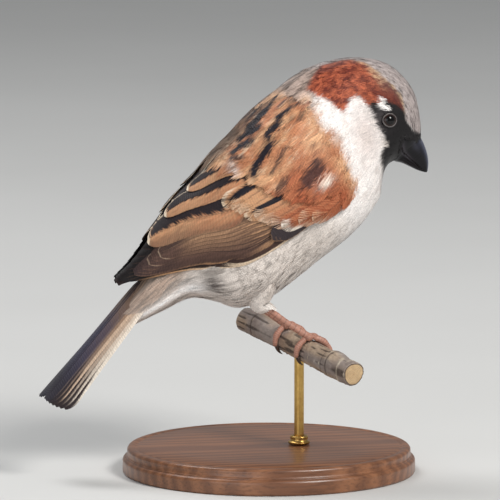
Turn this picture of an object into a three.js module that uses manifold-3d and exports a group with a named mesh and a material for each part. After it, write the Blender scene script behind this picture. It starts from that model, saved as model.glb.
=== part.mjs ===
// House sparrow (Passer domesticus), adult male, life size, perched on a short cut length of twig
// that a plain display stand holds up. Millimetres, +Z up. +X is the way the bird faces and +Y its left
// side. The plane y = 0 halves the trunk, and the origin is the middle of the stand base's underside.
import * as THREE from "three";
import { mergeVertices } from "three/addons/utils/BufferGeometryUtils.js";
import Module from "manifold-3d";

const wasm = await Module();
wasm.setup();

const degrees = THREE.MathUtils.degToRad;

// ---------------------------------------------------------------- driving dimensions

const GAP = 0.3; // clearance between neighbouring solids
const HEAD_TURN = degrees(-12); // the head looks a little to the bird's right
const HEAD_PIVOT_X = 22; // the upright axis that the head turns about

// Ribs of the plumage from bill to tail. Each is a flat section across the bird: its point on the
// back line (x, z), its point on the belly line (x, z) and half its width.
const BODY_RIBS = [
  { name: "bill_base", back: [46.9, 102.8], belly: [38.6, 95.7], half: 4.4 },
  { name: "lores", back: [46.9, 107.5], belly: [36.8, 94.7], half: 6.3 },
  { name: "brow", back: [45.1, 116.2], belly: [35.9, 93.2], half: 8.5 },
  { name: "eye", back: [41.1, 122.1], belly: [35.6, 92.0], half: 9.8 },
  { name: "crown", back: [35.2, 126.1], belly: [35.2, 90.1], half: 10.9 },
  { name: "hind_crown", back: [25.4, 127.4], belly: [34.9, 87.6], half: 12.1 },
  { name: "nape", back: [15.4, 125.4], belly: [34.3, 84.4], half: 13.8 },
  { name: "hind_neck", back: [8.5, 122.2], belly: [32.4, 81.4], half: 15.8 },
  { name: "shoulder", back: [1.3, 116.8], belly: [28.9, 76.8], half: 17.4 },
  { name: "mantle", back: [-6.3, 110.5], belly: [23.6, 71.7], half: 18.4 },
  { name: "back", back: [-12.0, 102.8], belly: [15.7, 66.0], half: 18.6 },
  { name: "mid", back: [-17.0, 97.4], belly: [7.2, 59.8], half: 18.0 },
  { name: "belly", back: [-21.7, 88.6], belly: [-1.6, 54.1], half: 16.8 },
  { name: "low_belly", back: [-27.4, 81.0], belly: [-10.1, 51.6], half: 14.6 },
  { name: "vent", back: [-32.1, 73.6], belly: [-18.2, 54.0], half: 11.6 },
  { name: "rump", back: [-36.8, 66.9], belly: [-25.2, 55.1], half: 9.2 },
  { name: "tail_root", back: [-41.2, 60.2], belly: [-33.0, 51.3], half: 7.4 },
  { name: "coverts_end", back: [-46.4, 52.6], belly: [-42.0, 47.0], half: 4.4 },
];
const BODY_RINGS_PER_RIB = 2;
const BODY_SIDES = 22;
const BODY_FULLNESS = 2.35; // 2 makes a rib's section an ellipse, and more makes it squarer
const ribIndex = (name) => BODY_RIBS.findIndex((r) => r.name === name);
const TURNED_TO = ribIndex("crown"); // ribs up to here turn with the head in full
const TURN_ENDS = ribIndex("hind_neck"); // and from here back not at all
const HEAD_CUT = ribIndex("hind_crown") + 0.6;
const NECK_CUT = ribIndex("hind_neck") + 0.6;

// Envelope of the two folded wings: the trunk's ribs made wider in front, then ribs of its own
// where the wing tips lie over the rump and the root of the tail.
const WING_COVER = { hind_neck: 0.8, shoulder: 1.9, mantle: 2.6 };
const WING_REAR_RIBS = [
  { back: [-12.6, 103.9], belly: [15.7, 66.0], half: 21.4 },
  { back: [-17.6, 99.2], belly: [7.2, 59.8], half: 20.6 },
  { back: [-23.9, 92.0], belly: [-2.5, 52.9], half: 19.0 },
  { back: [-30.2, 86.0], belly: [-9.4, 50.5], half: 16.4 },
  { back: [-35.5, 79.0], belly: [-16.4, 50.4], half: 13.4 },
  { back: [-40.3, 72.6], belly: [-25.2, 51.0], half: 10.6 },
  { back: [-44.7, 67.2], belly: [-34.6, 52.0], half: 8.0 },
  { back: [-49.0, 63.2], belly: [-43.0, 53.0], half: 5.2 },
  { back: [-52.5, 59.8], belly: [-48.5, 52.5], half: 3.6 },
];
const WING_THICKNESS = 2.4;
// Outline of the folded wing seen from the side (x, z), from the front of the scapulars back.
const WING_TOP_EDGE = [[15.5, 107.4], [6.0, 109.5], [-3.9, 107.0], [-11.8, 103.6], [-20.0, 101.5]];
const WING_BACK_CORNER = [-45.5, 75.0]; // outside the envelope, so the envelope bounds the wing there
const WING_TIP = [[-50.2, 62.9], [-47.4, 60.1]];
const WING_LOWER_EDGE = [[-36.7, 62.5], [-27.7, 65.7], [-17.5, 68.6], [-5.9, 72.3], [5.1, 76.6], [14.7, 80.9]];
const WING_BEND = [[20.0, 87.4], [20.7, 96.6]];

// Bill, in ribs like the body's, and its gape line.
const BILL_RIBS = [
  { back: [47.1, 102.5], belly: [38.8, 95.4], half: 4.1 },
  { back: [48.0, 100.6], belly: [41.1, 94.9], half: 3.4 },
  { back: [48.9, 97.9], belly: [43.7, 93.7], half: 2.55 },
  { back: [49.3, 95.1], belly: [46.1, 92.6], half: 1.5 },
  { back: [49.1, 92.5], belly: [48.5, 91.9], half: 0.45 },
];
const GAPE = { from: [41.6, 98.4], to: [48.9, 91.6] };

const EYE = { x: 36.6, z: 109.2, radius: 2.7, proud: 0.9 }; // proud: how far it stands out of the plumage

// Tail: a closed fan of twelve feathers, roofed a little and turned about its length.
const TAIL = {
  root: [-37.9, 60.3],
  tip: [-69.8, 23.4],
  rootWidth: 12,
  tipWidth: 18,
  rootThickness: 4.2,
  tipThickness: 1.5,
  roof: 1.5,
  notch: 2.2,
  skew: 1.3, // how much further its left corner reaches than its middle, and its right corner less
  roll: degrees(19),
};

// Perch: a twig cut at both ends, askew to the bird and sloping.
const PERCH = { x: 9.5, z: 38.5, radius: 3.5, length: 60, turn: degrees(20), slope: degrees(9) };
const FOOT_SPACING = 13;
const TOE_RADIUS = 0.95;
const CLAW_RADIUS = 0.62;
const HUB = { angle: degrees(102), radius: 1.5 };
// Toes in degrees round the perch (0 in front, 90 on top), with their sideways spread at the end.
const TOES = [
  { name: "hind", start: 112, end: 198, clawEnd: 246, spread: -0.6 },
  { name: "inner", start: 92, end: -14, clawEnd: -58, spread: -3.6 },
  { name: "middle", start: 92, end: -44, clawEnd: -90, spread: 0.3 },
  { name: "outer", start: 92, end: -22, clawEnd: -66, spread: 3.9 },
];
const HEELS = { left: [-5.8, 7.0, 54.6], right: [-4.6, -7.4, 54.0] };
const TARSUS_RADIUS = 1.0;
const THIGH = { rise: 9, overHeel: 3.6, topRadius: 5.4, lowRadius: 2.2 };

const BASE = { radius: 45, height: 8, bevel: 1.6 };
const ROD = { radius: 1.5, socketDepth: 5, boreDepth: 2.2 };
const COLLAR = { outer: 3.4, height: 2.6 };

// ---------------------------------------------------------------- small tools

const solids = {
  of(geometry) {
    const bare = geometry.clone();
    for (const name of Object.keys(bare.attributes)) if (name !== "position") bare.deleteAttribute(name);
    const merged = mergeVertices(bare, 1e-4);
    return new wasm.Manifold(
      new wasm.Mesh({
        numProp: 3,
        vertProperties: new Float32Array(merged.attributes.position.array),
        triVerts: new Uint32Array(merged.index.array),
      }),
    );
  },
  // The largest connected piece of a cut solid.
  largest(solid) {
    return solid.decompose().reduce((a, b) => (a.volume() > b.volume() ? a : b));
  },
  geometry(solid) {
    const mesh = solid.getMesh();
    const geometry = new THREE.BufferGeometry();
    geometry.setAttribute("position", new THREE.BufferAttribute(mesh.vertProperties, 3));
    geometry.setIndex(new THREE.BufferAttribute(mesh.triVerts, 1));
    geometry.computeVertexNormals();
    return geometry;
  },
};

// Uniform Catmull-Rom value of a list of numbers at t, from 0 to the last index.
function spline(values, t) {
  const last = values.length - 1;
  const i = Math.min(Math.floor(t), last - 1);
  const f = t - i;
  const at = (k) => {
    if (k < 0) return 2 * values[0] - values[1];
    if (k > last) return 2 * values[last] - values[last - 1];
    return values[k];
  };
  const [a, b, c, d] = [at(i - 1), at(i), at(i + 1), at(i + 2)];
  const cubic = 3 * (b - c) + d - a;
  const square = 2 * a - 5 * b + 4 * c - d;
  return b + 0.5 * f * (c - a + f * (square + f * cubic));
}

// The rib at any place between the ribs, with its section made larger by grow.
function ribAt(ribs, t, grow = 0) {
  const value = (pick) => spline(ribs.map(pick), t);
  const back = new THREE.Vector2(value((r) => r.back[0]), value((r) => r.back[1]));
  const belly = new THREE.Vector2(value((r) => r.belly[0]), value((r) => r.belly[1]));
  const along = back.clone().sub(belly).normalize();
  back.addScaledVector(along, grow);
  belly.addScaledVector(along, -grow);
  return { back, belly, half: value((r) => r.half) + grow };
}

function fuller(value) {
  return Math.sign(value) * Math.abs(value) ** (2 / BODY_FULLNESS);
}

// A closed ring of points round a rib, starting on the back line and going down the right side.
function ringOf(rib, sides, turn = 0) {
  const centre = rib.back.clone().add(rib.belly).multiplyScalar(0.5);
  const arm = rib.back.clone().sub(rib.belly).multiplyScalar(0.5);
  return Array.from({ length: sides }, (_, k) => {
    const angle = (k / sides) * 2 * Math.PI;
    const rise = fuller(Math.cos(angle));
    const side = -rib.half * fuller(Math.sin(angle));
    return turnHead(new THREE.Vector3(centre.x + arm.x * rise, side, centre.y + arm.y * rise), turn);
  });
}

function turnHead(point, share = 1) {
  const pivot = new THREE.Vector3(HEAD_PIVOT_X, 0, 0);
  return point.sub(pivot).applyAxisAngle(new THREE.Vector3(0, 0, 1), share * HEAD_TURN).add(pivot);
}

// How much of the head's turn a body rib takes.
function turnShare(t) {
  return 1 - THREE.MathUtils.smoothstep(t, TURNED_TO, TURN_ENDS);
}

// A closed surface through rings of equal length, with a flat or pointed cap at each end.
function loft(rings) {
  const sides = rings[0].length;
  const points = rings.flat();
  const middle = (ring) => ring.reduce((sum, p) => sum.add(p), new THREE.Vector3()).divideScalar(sides);
  const first = points.push(middle(rings[0])) - 1;
  const last = points.push(middle(rings.at(-1))) - 1;
  const index = [];
  for (let i = 0; i < rings.length - 1; i++) {
    for (let k = 0; k < sides; k++) {
      const [a, b] = [i * sides + k, i * sides + ((k + 1) % sides)];
      index.push(a, b, a + sides, b, b + sides, a + sides);
    }
  }
  for (let k = 0; k < sides; k++) {
    const [a, b] = [k, (k + 1) % sides];
    const end = (rings.length - 1) * sides;
    index.push(b, a, first, end + a, end + b, last);
  }
  const geometry = new THREE.BufferGeometry().setFromPoints(points);
  geometry.setIndex(index);
  return outward(geometry);
}

// Turns the faces round if they point inwards.
function outward(geometry) {
  const p = geometry.attributes.position;
  const index = geometry.index.array;
  const corner = (i) => new THREE.Vector3().fromBufferAttribute(p, index[i]);
  let volume = 0;
  for (let i = 0; i < index.length; i += 3) volume += corner(i).dot(corner(i + 1).cross(corner(i + 2)));
  if (volume < 0) for (let i = 0; i < index.length; i += 3) [index[i], index[i + 1]] = [index[i + 1], index[i]];
  return geometry;
}

function mirrored(solid) {
  return solids.of(outward(solids.geometry(solid).scale(1, -1, 1)));
}

// A tapering tube along a curve, with elliptical sections: radius(u) gives [sideways, upright].
function tube(path, radius, steps, sides) {
  const frames = path.computeFrenetFrames(steps, false);
  const rings = Array.from({ length: steps + 1 }, (_, i) => {
    const u = i / steps;
    const [wide, high] = [radius(u)].flat();
    return Array.from({ length: sides }, (_, k) => {
      const angle = (k / sides) * 2 * Math.PI;
      return path
        .getPointAt(u)
        .addScaledVector(frames.normals[i], (high ?? wide) * Math.cos(angle))
        .addScaledVector(frames.binormals[i], wide * Math.sin(angle));
    });
  });
  return loft(rings);
}

// A tube's radius that rounds off at its ends, over a share of its length.
function rounded(u, radius, share = 0.12, least = 0.35) {
  const from = Math.min(u, 1 - u) / share;
  return from >= 1 ? radius : radius * (least + (1 - least) * Math.sqrt(1 - (1 - from) ** 2));
}

// ---------------------------------------------------------------- trunk, neck and head

function bodyLoft(grow = 0) {
  const last = BODY_RIBS.length - 1;
  const count = last * BODY_RINGS_PER_RIB;
  const rings = Array.from({ length: count + 1 }, (_, i) => {
    const t = (i / count) * last;
    return ringOf(ribAt(BODY_RIBS, t, grow), BODY_SIDES, turnShare(t));
  });
  return solids.of(loft(rings));
}

// A thin slab across the body at a rib, which parts one piece of the body from the next.
function partingSlab(t) {
  const rib = ribAt(BODY_RIBS, t, 4);
  const along = rib.back.clone().sub(rib.belly);
  const slab = new THREE.BoxGeometry(GAP, 60, along.length());
  slab.rotateY(Math.atan2(along.x, along.y));
  slab.translate((rib.back.x + rib.belly.x) / 2, 0, (rib.back.y + rib.belly.y) / 2);
  return solids.of(slab);
}

const wholeBody = bodyLoft();
const bodyGrown = bodyLoft(GAP);

// Half the width of a rib's section at a height in it, as a share of its greatest.
function fullSide(rise) {
  return Math.max(0, 1 - Math.abs(rise) ** BODY_FULLNESS) ** (1 / BODY_FULLNESS);
}

// The side of the plumage at a place in the head, as a distance from its middle plane.
function headSideAt(x, z) {
  const place = new THREE.Vector2(x, z);
  const last = ribIndex("nape");
  let best = { miss: Infinity };
  for (let t = 0; t <= last; t += 0.02) {
    const rib = ribAt(BODY_RIBS, t);
    const arm = rib.back.clone().sub(rib.belly).multiplyScalar(0.5);
    const from = place.clone().sub(rib.belly).sub(arm);
    const miss = Math.abs(from.cross(arm)) / arm.length();
    const rise = from.dot(arm) / arm.lengthSq();
    if (miss < best.miss) best = { miss, side: rib.half * fullSide(rise) };
  }
  return best.side;
}

function eyeBall(side, grow = 0) {
  const y = side * (headSideAt(EYE.x, EYE.z) + EYE.proud - EYE.radius);
  const centre = turnHead(new THREE.Vector3(EYE.x, y, EYE.z));
  const ball = new THREE.SphereGeometry(EYE.radius + grow, 14, 9);
  ball.translate(centre.x, centre.y, centre.z);
  return solids.of(ball);
}

function bodyPieces() {
  const cut = wholeBody.subtract(partingSlab(HEAD_CUT)).subtract(partingSlab(NECK_CUT));
  const pieces = cut.decompose().filter((piece) => piece.volume() > 1);
  pieces.sort((a, b) => b.boundingBox().max[0] - a.boundingBox().max[0]);
  const [head, neck, trunk] = pieces;
  return { head: head.subtract(eyeBall(1, GAP)).subtract(eyeBall(-1, GAP)), neck, trunk };
}

// ---------------------------------------------------------------- bill

function billPieces() {
  const steps = 8;
  const rings = Array.from({ length: steps + 1 }, (_, i) => {
    const t = (i / steps) * (BILL_RIBS.length - 1);
    return ringOf(ribAt(BILL_RIBS, t), 20, 1);
  });
  const whole = solids.of(loft(rings));
  const [from, to] = [new THREE.Vector2(...GAPE.from), new THREE.Vector2(...GAPE.to)];
  const line = to.clone().sub(from);
  const slab = new THREE.BoxGeometry(line.length() + 6, 14, 0.2);
  slab.rotateY(-Math.atan2(line.y, line.x));
  slab.translate((from.x + to.x) / 2, 0, (from.y + to.y) / 2);
  slab.translate(-HEAD_PIVOT_X, 0, 0).rotateZ(HEAD_TURN).translate(HEAD_PIVOT_X, 0, 0);
  const pieces = whole.subtract(solids.of(slab)).decompose();
  pieces.sort((a, b) => b.boundingBox().max[2] - a.boundingBox().max[2]);
  return { upper: pieces[0], lower: pieces[1] };
}

// ---------------------------------------------------------------- tail

// The fan of the tail. Its upper and under sides are one grid each, joined round the edge.
function tailLoft(grow = 0) {
  const root = new THREE.Vector3(TAIL.root[0], 0, TAIL.root[1]);
  const axis = new THREE.Vector3(TAIL.tip[0], 0, TAIL.tip[1]).sub(root);
  const length = axis.length();
  axis.normalize();
  const left = new THREE.Vector3(0, 1, 0);
  const up = left.clone().cross(axis);
  const across = left.clone().multiplyScalar(Math.cos(TAIL.roll)).addScaledVector(up, Math.sin(TAIL.roll));
  const lift = up.clone().multiplyScalar(Math.cos(TAIL.roll)).addScaledVector(left, -Math.sin(TAIL.roll));
  const [steps, half] = [8, 8];
  const rings = Array.from({ length: steps + 1 }, (_, i) => {
    const s = i / steps;
    const width = THREE.MathUtils.lerp(TAIL.rootWidth, TAIL.tipWidth, s) / 2 + grow;
    const thick = THREE.MathUtils.lerp(TAIL.rootThickness, TAIL.tipThickness, s ** 0.7) / 2 + grow;
    return Array.from({ length: 2 * half }, (_, k) => {
      const v = k <= half ? 1 - (2 * k) / half : -1 + (2 * (k - half)) / half;
      const side = k === 0 || k === half ? 0 : k < half ? 1 : -1;
      const notch = TAIL.notch * (1 - Math.abs(v) ** 1.5);
      const rounding = 2.2 * s * Math.max(0, Math.abs(v) - 0.7) ** 1.2;
      const height = thick * side * Math.sqrt(1 - v * v * 0.75) - TAIL.roof * (v * v - 0.4);
      return root
        .clone()
        .addScaledVector(axis, s * (length + grow - notch + TAIL.skew * v) - rounding)
        .addScaledVector(across, v * width)
        .addScaledVector(lift, height);
    });
  });
  return solids.of(loft(rings));
}

// ---------------------------------------------------------------- wings

function wingRibs() {
  const front = BODY_RIBS.filter((r) => r.name in WING_COVER).map((r) => ({
    ...r,
    half: r.half + WING_COVER[r.name],
  }));
  return [...front, ...WING_REAR_RIBS];
}

function wingEnvelope(inset = 0) {
  const ribs = wingRibs();
  const count = (ribs.length - 1) * 2;
  const rings = Array.from({ length: count + 1 }, (_, i) => {
    const rib = ribAt(ribs, (i / count) * (ribs.length - 1), -inset);
    if (inset > 0) {
      const along = rib.back.clone().sub(rib.belly).normalize();
      rib.belly.addScaledVector(along, -inset - 5); // open below, so that the wing is a shell there
      rib.half = Math.max(rib.half, 0.6);
    }
    return ringOf(rib, 22);
  });
  return solids.of(loft(rings));
}

function wingOutline() {
  const toVectors = (list) => list.map(([x, z]) => new THREE.Vector2(x, z));
  const shape = new THREE.Shape();
  shape.moveTo(...WING_TOP_EDGE[0]);
  shape.splineThru(toVectors(WING_TOP_EDGE.slice(1)));
  shape.lineTo(...WING_BACK_CORNER);
  WING_TIP.forEach((p) => shape.lineTo(...p));
  shape.splineThru(toVectors(WING_LOWER_EDGE));
  shape.splineThru(toVectors([...WING_BEND, WING_TOP_EDGE[0]]));
  return shape;
}

function rightWing() {
  const reach = 30;
  const plan = new THREE.ExtrudeGeometry(wingOutline(), { depth: reach, bevelEnabled: false, curveSegments: 5 });
  plan.rotateX(Math.PI / 2); // the outline's plane becomes XZ, and its depth runs to the bird's right
  plan.translate(0, -GAP / 2, 0);
  return wingEnvelope().intersect(solids.of(plan)).subtract(wingEnvelope(WING_THICKNESS));
}

// A wing cleared of the body and the tail that it lies on.
function seated(wing) {
  return solids.largest(wing.subtract(bodyGrown).subtract(tailLoft(GAP)));
}

// ---------------------------------------------------------------- legs and feet

const perchFrame = new THREE.Matrix4()
  .makeTranslation(PERCH.x, 0, PERCH.z)
  .multiply(new THREE.Matrix4().makeRotationZ(PERCH.turn))
  .multiply(new THREE.Matrix4().makeRotationX(PERCH.slope));

// A point round the perch: its angle, its distance from the perch's axis and its place along it.
function roundPerch(angle, distance, along) {
  return new THREE.Vector3(distance * Math.cos(angle), along, distance * Math.sin(angle)).applyMatrix4(perchFrame);
}

function hubCentre(side) {
  return roundPerch(HUB.angle, PERCH.radius + GAP + HUB.radius * 0.9, (side * FOOT_SPACING) / 2);
}

function toePath(toe, side, fromAngle, toAngle, distance) {
  const steps = 8;
  const points = Array.from({ length: steps + 1 }, (_, i) => {
    const angle = THREE.MathUtils.lerp(fromAngle, toAngle, i / steps);
    const whole = (angle - toe.start) / (toe.clawEnd - toe.start);
    const base = toe.name === "middle" || toe.name === "hind" ? 0 : Math.sign(toe.spread) * 1.1;
    const along = side * (FOOT_SPACING / 2 + base + toe.spread * whole ** 0.8);
    return roundPerch(degrees(angle), distance, along);
  });
  return new THREE.CatmullRomCurve3(points);
}

// The hub and its four toes, each with pads at its joints.
function foot(side) {
  const hub = new THREE.SphereGeometry(HUB.radius, 10, 7);
  const centre = hubCentre(side);
  hub.scale(1, 1.35, 0.9).translate(centre.x, centre.y, centre.z);
  return TOES.reduce((whole, toe) => {
    const pads = toe.name === "hind" ? 2 : 3;
    const size = (u) => rounded(u, TOE_RADIUS * (1.08 - 0.22 * u) * (1 + 0.09 * Math.cos(2 * Math.PI * pads * u)));
    const path = toePath(toe, side, toe.start, toe.end, PERCH.radius + GAP + TOE_RADIUS * 1.18);
    return whole.add(solids.of(tube(path, size, 8, 6)));
  }, solids.of(hub));
}

function claw(toe, side) {
  const step = Math.sign(toe.end - toe.start);
  const path = toePath(toe, side, toe.end + step * 3, toe.clawEnd, PERCH.radius + GAP + CLAW_RADIUS * 1.1);
  return solids.of(tube(path, (u) => CLAW_RADIUS * (1 - 0.6 * u ** 1.4), 5, 6));
}

// The feathered lower end of the thigh, from inside the flank down to the heel.
function thigh(side, name, grow = 0) {
  const heel = new THREE.Vector3(...HEELS[name]);
  const shin = hubCentre(side).sub(heel).normalize();
  const low = heel.clone().addScaledVector(shin, THIGH.overHeel + grow);
  const top = heel.clone().add(new THREE.Vector3(1.5, side * 1.6, THIGH.rise));
  const path = new THREE.CatmullRomCurve3([top, heel, low]);
  const size = (u) => rounded(u, THREE.MathUtils.lerp(THIGH.topRadius, THIGH.lowRadius, u) + grow, 0.3, 0.5);
  return solids.of(tube(path, size, 10, 14));
}

// The bare shank, from the heel down to the hub of the foot.
function shank(side, name) {
  const heel = new THREE.Vector3(...HEELS[name]);
  const end = hubCentre(side);
  const middle = heel.clone().lerp(end, 0.5).add(new THREE.Vector3(-0.4, 0, -0.3));
  const path = new THREE.CatmullRomCurve3([heel, middle, end]);
  const size = (u) => TARSUS_RADIUS * (1 + 0.25 * Math.abs(2 * u - 1) ** 3);
  return solids.of(tube(path, size, 8, 8));
}

function legPieces(side, name) {
  const footSolid = foot(side);
  const hubGrown = new THREE.SphereGeometry(HUB.radius + GAP, 10, 7);
  const centre = hubCentre(side);
  hubGrown.scale(1, 1.35, 0.92).translate(centre.x, centre.y, centre.z);
  const thighSolid = solids.largest(thigh(side, name).subtract(bodyGrown));
  const leg = shank(side, name).subtract(thigh(side, name, GAP)).subtract(bodyGrown).subtract(solids.of(hubGrown));
  return { foot: footSolid, thigh: thighSolid, leg: solids.largest(leg) };
}

// ---------------------------------------------------------------- perch and stand

// The twig: a little bent, thicker at two buds' nodes and cut off straight.
function perch() {
  const [steps, sides] = [16, 10];
  const rings = Array.from({ length: steps + 1 }, (_, i) => {
    const u = i / steps;
    const along = (u - 0.5) * PERCH.length;
    const bend = 1.6 * ((2 * u - 1) ** 2 - 0.06) * Math.sign(0.5 - u);
    const clear = Math.abs(along) < FOOT_SPACING ? 0 : 1; // round and true where the feet grip it
    const node = 0.7 * Math.exp(-(((u - 0.16) / 0.045) ** 2)) + 0.55 * Math.exp(-(((u - 0.87) / 0.04) ** 2));
    return Array.from({ length: sides }, (_, k) => {
      const angle = (k / sides) * 2 * Math.PI;
      const lump = clear * 0.12 * Math.sin(3 * angle + 9 * u);
      const radius = PERCH.radius + clear * node * (0.7 + 0.5 * Math.cos(angle - 1)) + lump;
      const offset = clear * bend * (Math.abs(2 * u - 1) - 0.42);
      return new THREE.Vector3(radius * Math.cos(angle) + offset, along, radius * Math.sin(angle)).applyMatrix4(
        perchFrame,
      );
    });
  });
  return solids.of(loft(rings)).subtract(rod(GAP));
}

function rod(grow = 0) {
  const bottom = BASE.height - ROD.socketDepth + (grow ? 0 : GAP);
  const top = PERCH.z - PERCH.radius + ROD.boreDepth + grow;
  const shaft = new THREE.CylinderGeometry(ROD.radius + grow, ROD.radius + grow, top - bottom, 14);
  shaft.rotateX(Math.PI / 2).translate(PERCH.x, 0, (top + bottom) / 2);
  return solids.of(shaft);
}

// A solid of revolution about an upright axis, from a profile of (radius, height) points.
function turned(profile, sides, x = 0) {
  const lathe = new THREE.LatheGeometry(profile.map(([r, h]) => new THREE.Vector2(r, h)), sides);
  return solids.of(outward(mergeVertices(bare(lathe.rotateX(Math.PI / 2).translate(x, 0, 0)), 1e-4)));
}

function bare(geometry) {
  geometry.deleteAttribute("normal");
  geometry.deleteAttribute("uv");
  return geometry;
}

function base() {
  const { radius, height, bevel } = BASE;
  const profile = [
    [0, 0],
    [radius - 0.6, 0],
    [radius, 0.6],
    [radius, height - bevel],
    [radius - 0.3 * bevel, height - 0.3 * bevel],
    [radius - bevel, height],
    [0, height],
  ];
  return turned(profile, 40).subtract(rod(GAP));
}

function collar() {
  const [inner, foot] = [ROD.radius + GAP, BASE.height + GAP];
  const top = foot + COLLAR.height;
  const profile = [
    [inner, foot],
    [COLLAR.outer, foot],
    [COLLAR.outer, foot + 0.6 * COLLAR.height],
    [COLLAR.outer - 0.9, top],
    [inner, top],
    [inner, foot],
  ];
  return turned(profile, 18, PERCH.x);
}

// ---------------------------------------------------------------- the model

const finish = (color, roughness, metalness = 0) =>
  new THREE.MeshStandardMaterial({ color, roughness, metalness });
const FINISHES = {
  head: finish(0x6b3a26, 0.85),
  neck: finish(0xb9aca0, 0.85),
  trunk: finish(0xb4a99e, 0.85),
  wing: finish(0x7a4e2f, 0.8),
  tail: finish(0x4a3d36, 0.8),
  bill: finish(0x1d1c20, 0.4),
  eye: finish(0x0d0807, 0.08),
  leg: finish(0x8d6553, 0.6),
  claw: finish(0x2b2320, 0.45),
  bark: finish(0x9b8b82, 0.9),
  wood: finish(0x6a4a33, 0.5),
  brass: finish(0xa98b52, 0.3, 1),
};

const model = new THREE.Group();

function add(parent, name, solid, material) {
  const mesh = new THREE.Mesh(solids.geometry(solid), material);
  mesh.name = name;
  parent.add(mesh);
}

const bird = new THREE.Group();
model.add(bird);
const { head, neck, trunk } = bodyPieces();
const bill = billPieces();
add(bird, "head", head, FINISHES.head);
add(bird, "neck", neck, FINISHES.neck);
add(bird, "trunk", trunk.subtract(tailLoft(GAP)), FINISHES.trunk);
add(bird, "bill_upper", bill.upper, FINISHES.bill);
add(bird, "bill_lower", bill.lower, FINISHES.bill);
add(bird, "eye_left", eyeBall(1), FINISHES.eye);
add(bird, "eye_right", eyeBall(-1), FINISHES.eye);
add(bird, "wing_right", seated(rightWing()), FINISHES.wing);
add(bird, "wing_left", seated(mirrored(rightWing())), FINISHES.wing);
add(bird, "tail", tailLoft(), FINISHES.tail);
for (const [side, name] of [[1, "left"], [-1, "right"]]) {
  const pieces = legPieces(side, name);
  add(bird, `thigh_${name}`, pieces.thigh, FINISHES.trunk);
  add(bird, `leg_${name}`, pieces.leg, FINISHES.leg);
  add(bird, `foot_${name}`, pieces.foot, FINISHES.leg);
  for (const toe of TOES) add(bird, `claw_${toe.name}_${name}`, claw(toe, side), FINISHES.claw);
}

const stand = new THREE.Group();
model.add(stand);
add(stand, "perch", perch(), FINISHES.bark);
add(stand, "stand_rod", rod(), FINISHES.brass);
add(stand, "stand_collar", collar(), FINISHES.brass);
add(stand, "stand_base", base(), FINISHES.wood);

export default model;
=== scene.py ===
"""House sparrow, adult male, on a twig and a display stand: skin, plumage, horn, bark and wood.

Lengths are in millimetres until a mesh is made, and angles round the body are in degrees from the
back line (0) down the right side (90) to the belly line (180).
"""
import math

import bpy
import numpy as np
from mathutils import Matrix, Vector


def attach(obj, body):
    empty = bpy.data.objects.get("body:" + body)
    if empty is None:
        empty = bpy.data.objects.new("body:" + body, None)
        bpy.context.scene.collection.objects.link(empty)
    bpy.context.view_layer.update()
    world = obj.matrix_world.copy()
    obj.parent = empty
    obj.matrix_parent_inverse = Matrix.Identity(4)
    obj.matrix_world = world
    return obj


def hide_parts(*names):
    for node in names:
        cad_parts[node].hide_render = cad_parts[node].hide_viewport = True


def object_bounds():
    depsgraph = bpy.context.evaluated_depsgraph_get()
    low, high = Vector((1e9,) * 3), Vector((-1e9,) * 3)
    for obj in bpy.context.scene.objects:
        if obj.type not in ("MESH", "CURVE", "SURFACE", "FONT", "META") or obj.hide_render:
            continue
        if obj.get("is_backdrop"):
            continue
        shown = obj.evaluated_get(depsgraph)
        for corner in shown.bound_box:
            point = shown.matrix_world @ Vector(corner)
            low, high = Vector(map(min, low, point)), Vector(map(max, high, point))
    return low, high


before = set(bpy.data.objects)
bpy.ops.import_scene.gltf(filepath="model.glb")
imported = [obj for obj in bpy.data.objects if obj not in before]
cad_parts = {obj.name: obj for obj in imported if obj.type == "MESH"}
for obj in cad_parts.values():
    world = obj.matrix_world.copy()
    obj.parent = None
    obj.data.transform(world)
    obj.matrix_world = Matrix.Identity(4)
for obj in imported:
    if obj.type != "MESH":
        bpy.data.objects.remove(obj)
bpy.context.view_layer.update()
MM = 0.001
SIDES = (("left", 1), ("right", -1))
rng = np.random.default_rng(1)

# ------------------------------------------------------------------ sizes, shared with the solids

HEAD_TURN = math.radians(-12)
HEAD_PIVOT_X = 22.0
FULLNESS = 2.35
# name: back line (x, z), belly line (x, z), half width
BODY_RIBS = {
    "bill_base": ((46.9, 102.8), (38.6, 95.7), 4.4),
    "lores": ((46.9, 107.5), (36.8, 94.7), 6.3),
    "brow": ((45.1, 116.2), (35.9, 93.2), 8.5),
    "eye": ((41.1, 122.1), (35.6, 92.0), 9.8),
    "crown": ((35.2, 126.1), (35.2, 90.1), 10.9),
    "hind_crown": ((25.4, 127.4), (34.9, 87.6), 12.1),
    "nape": ((15.4, 125.4), (34.3, 84.4), 13.8),
    "hind_neck": ((8.5, 122.2), (32.4, 81.4), 15.8),
    "shoulder": ((1.3, 116.8), (28.9, 76.8), 17.4),
    "mantle": ((-6.3, 110.5), (23.6, 71.7), 18.4),
    "back": ((-12.0, 102.8), (15.7, 66.0), 18.6),
    "mid": ((-17.0, 97.4), (7.2, 59.8), 18.0),
    "belly": ((-21.7, 88.6), (-1.6, 54.1), 16.8),
    "low_belly": ((-27.4, 81.0), (-10.1, 51.6), 14.6),
    "vent": ((-32.1, 73.6), (-18.2, 54.0), 11.6),
    "rump": ((-36.8, 66.9), (-25.2, 55.1), 9.2),
    "tail_root": ((-41.2, 60.2), (-33.0, 51.3), 7.4),
    "coverts_end": ((-46.4, 52.6), (-42.0, 47.0), 4.4),
}
CROWN_RIB = list(BODY_RIBS).index("crown")
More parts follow.
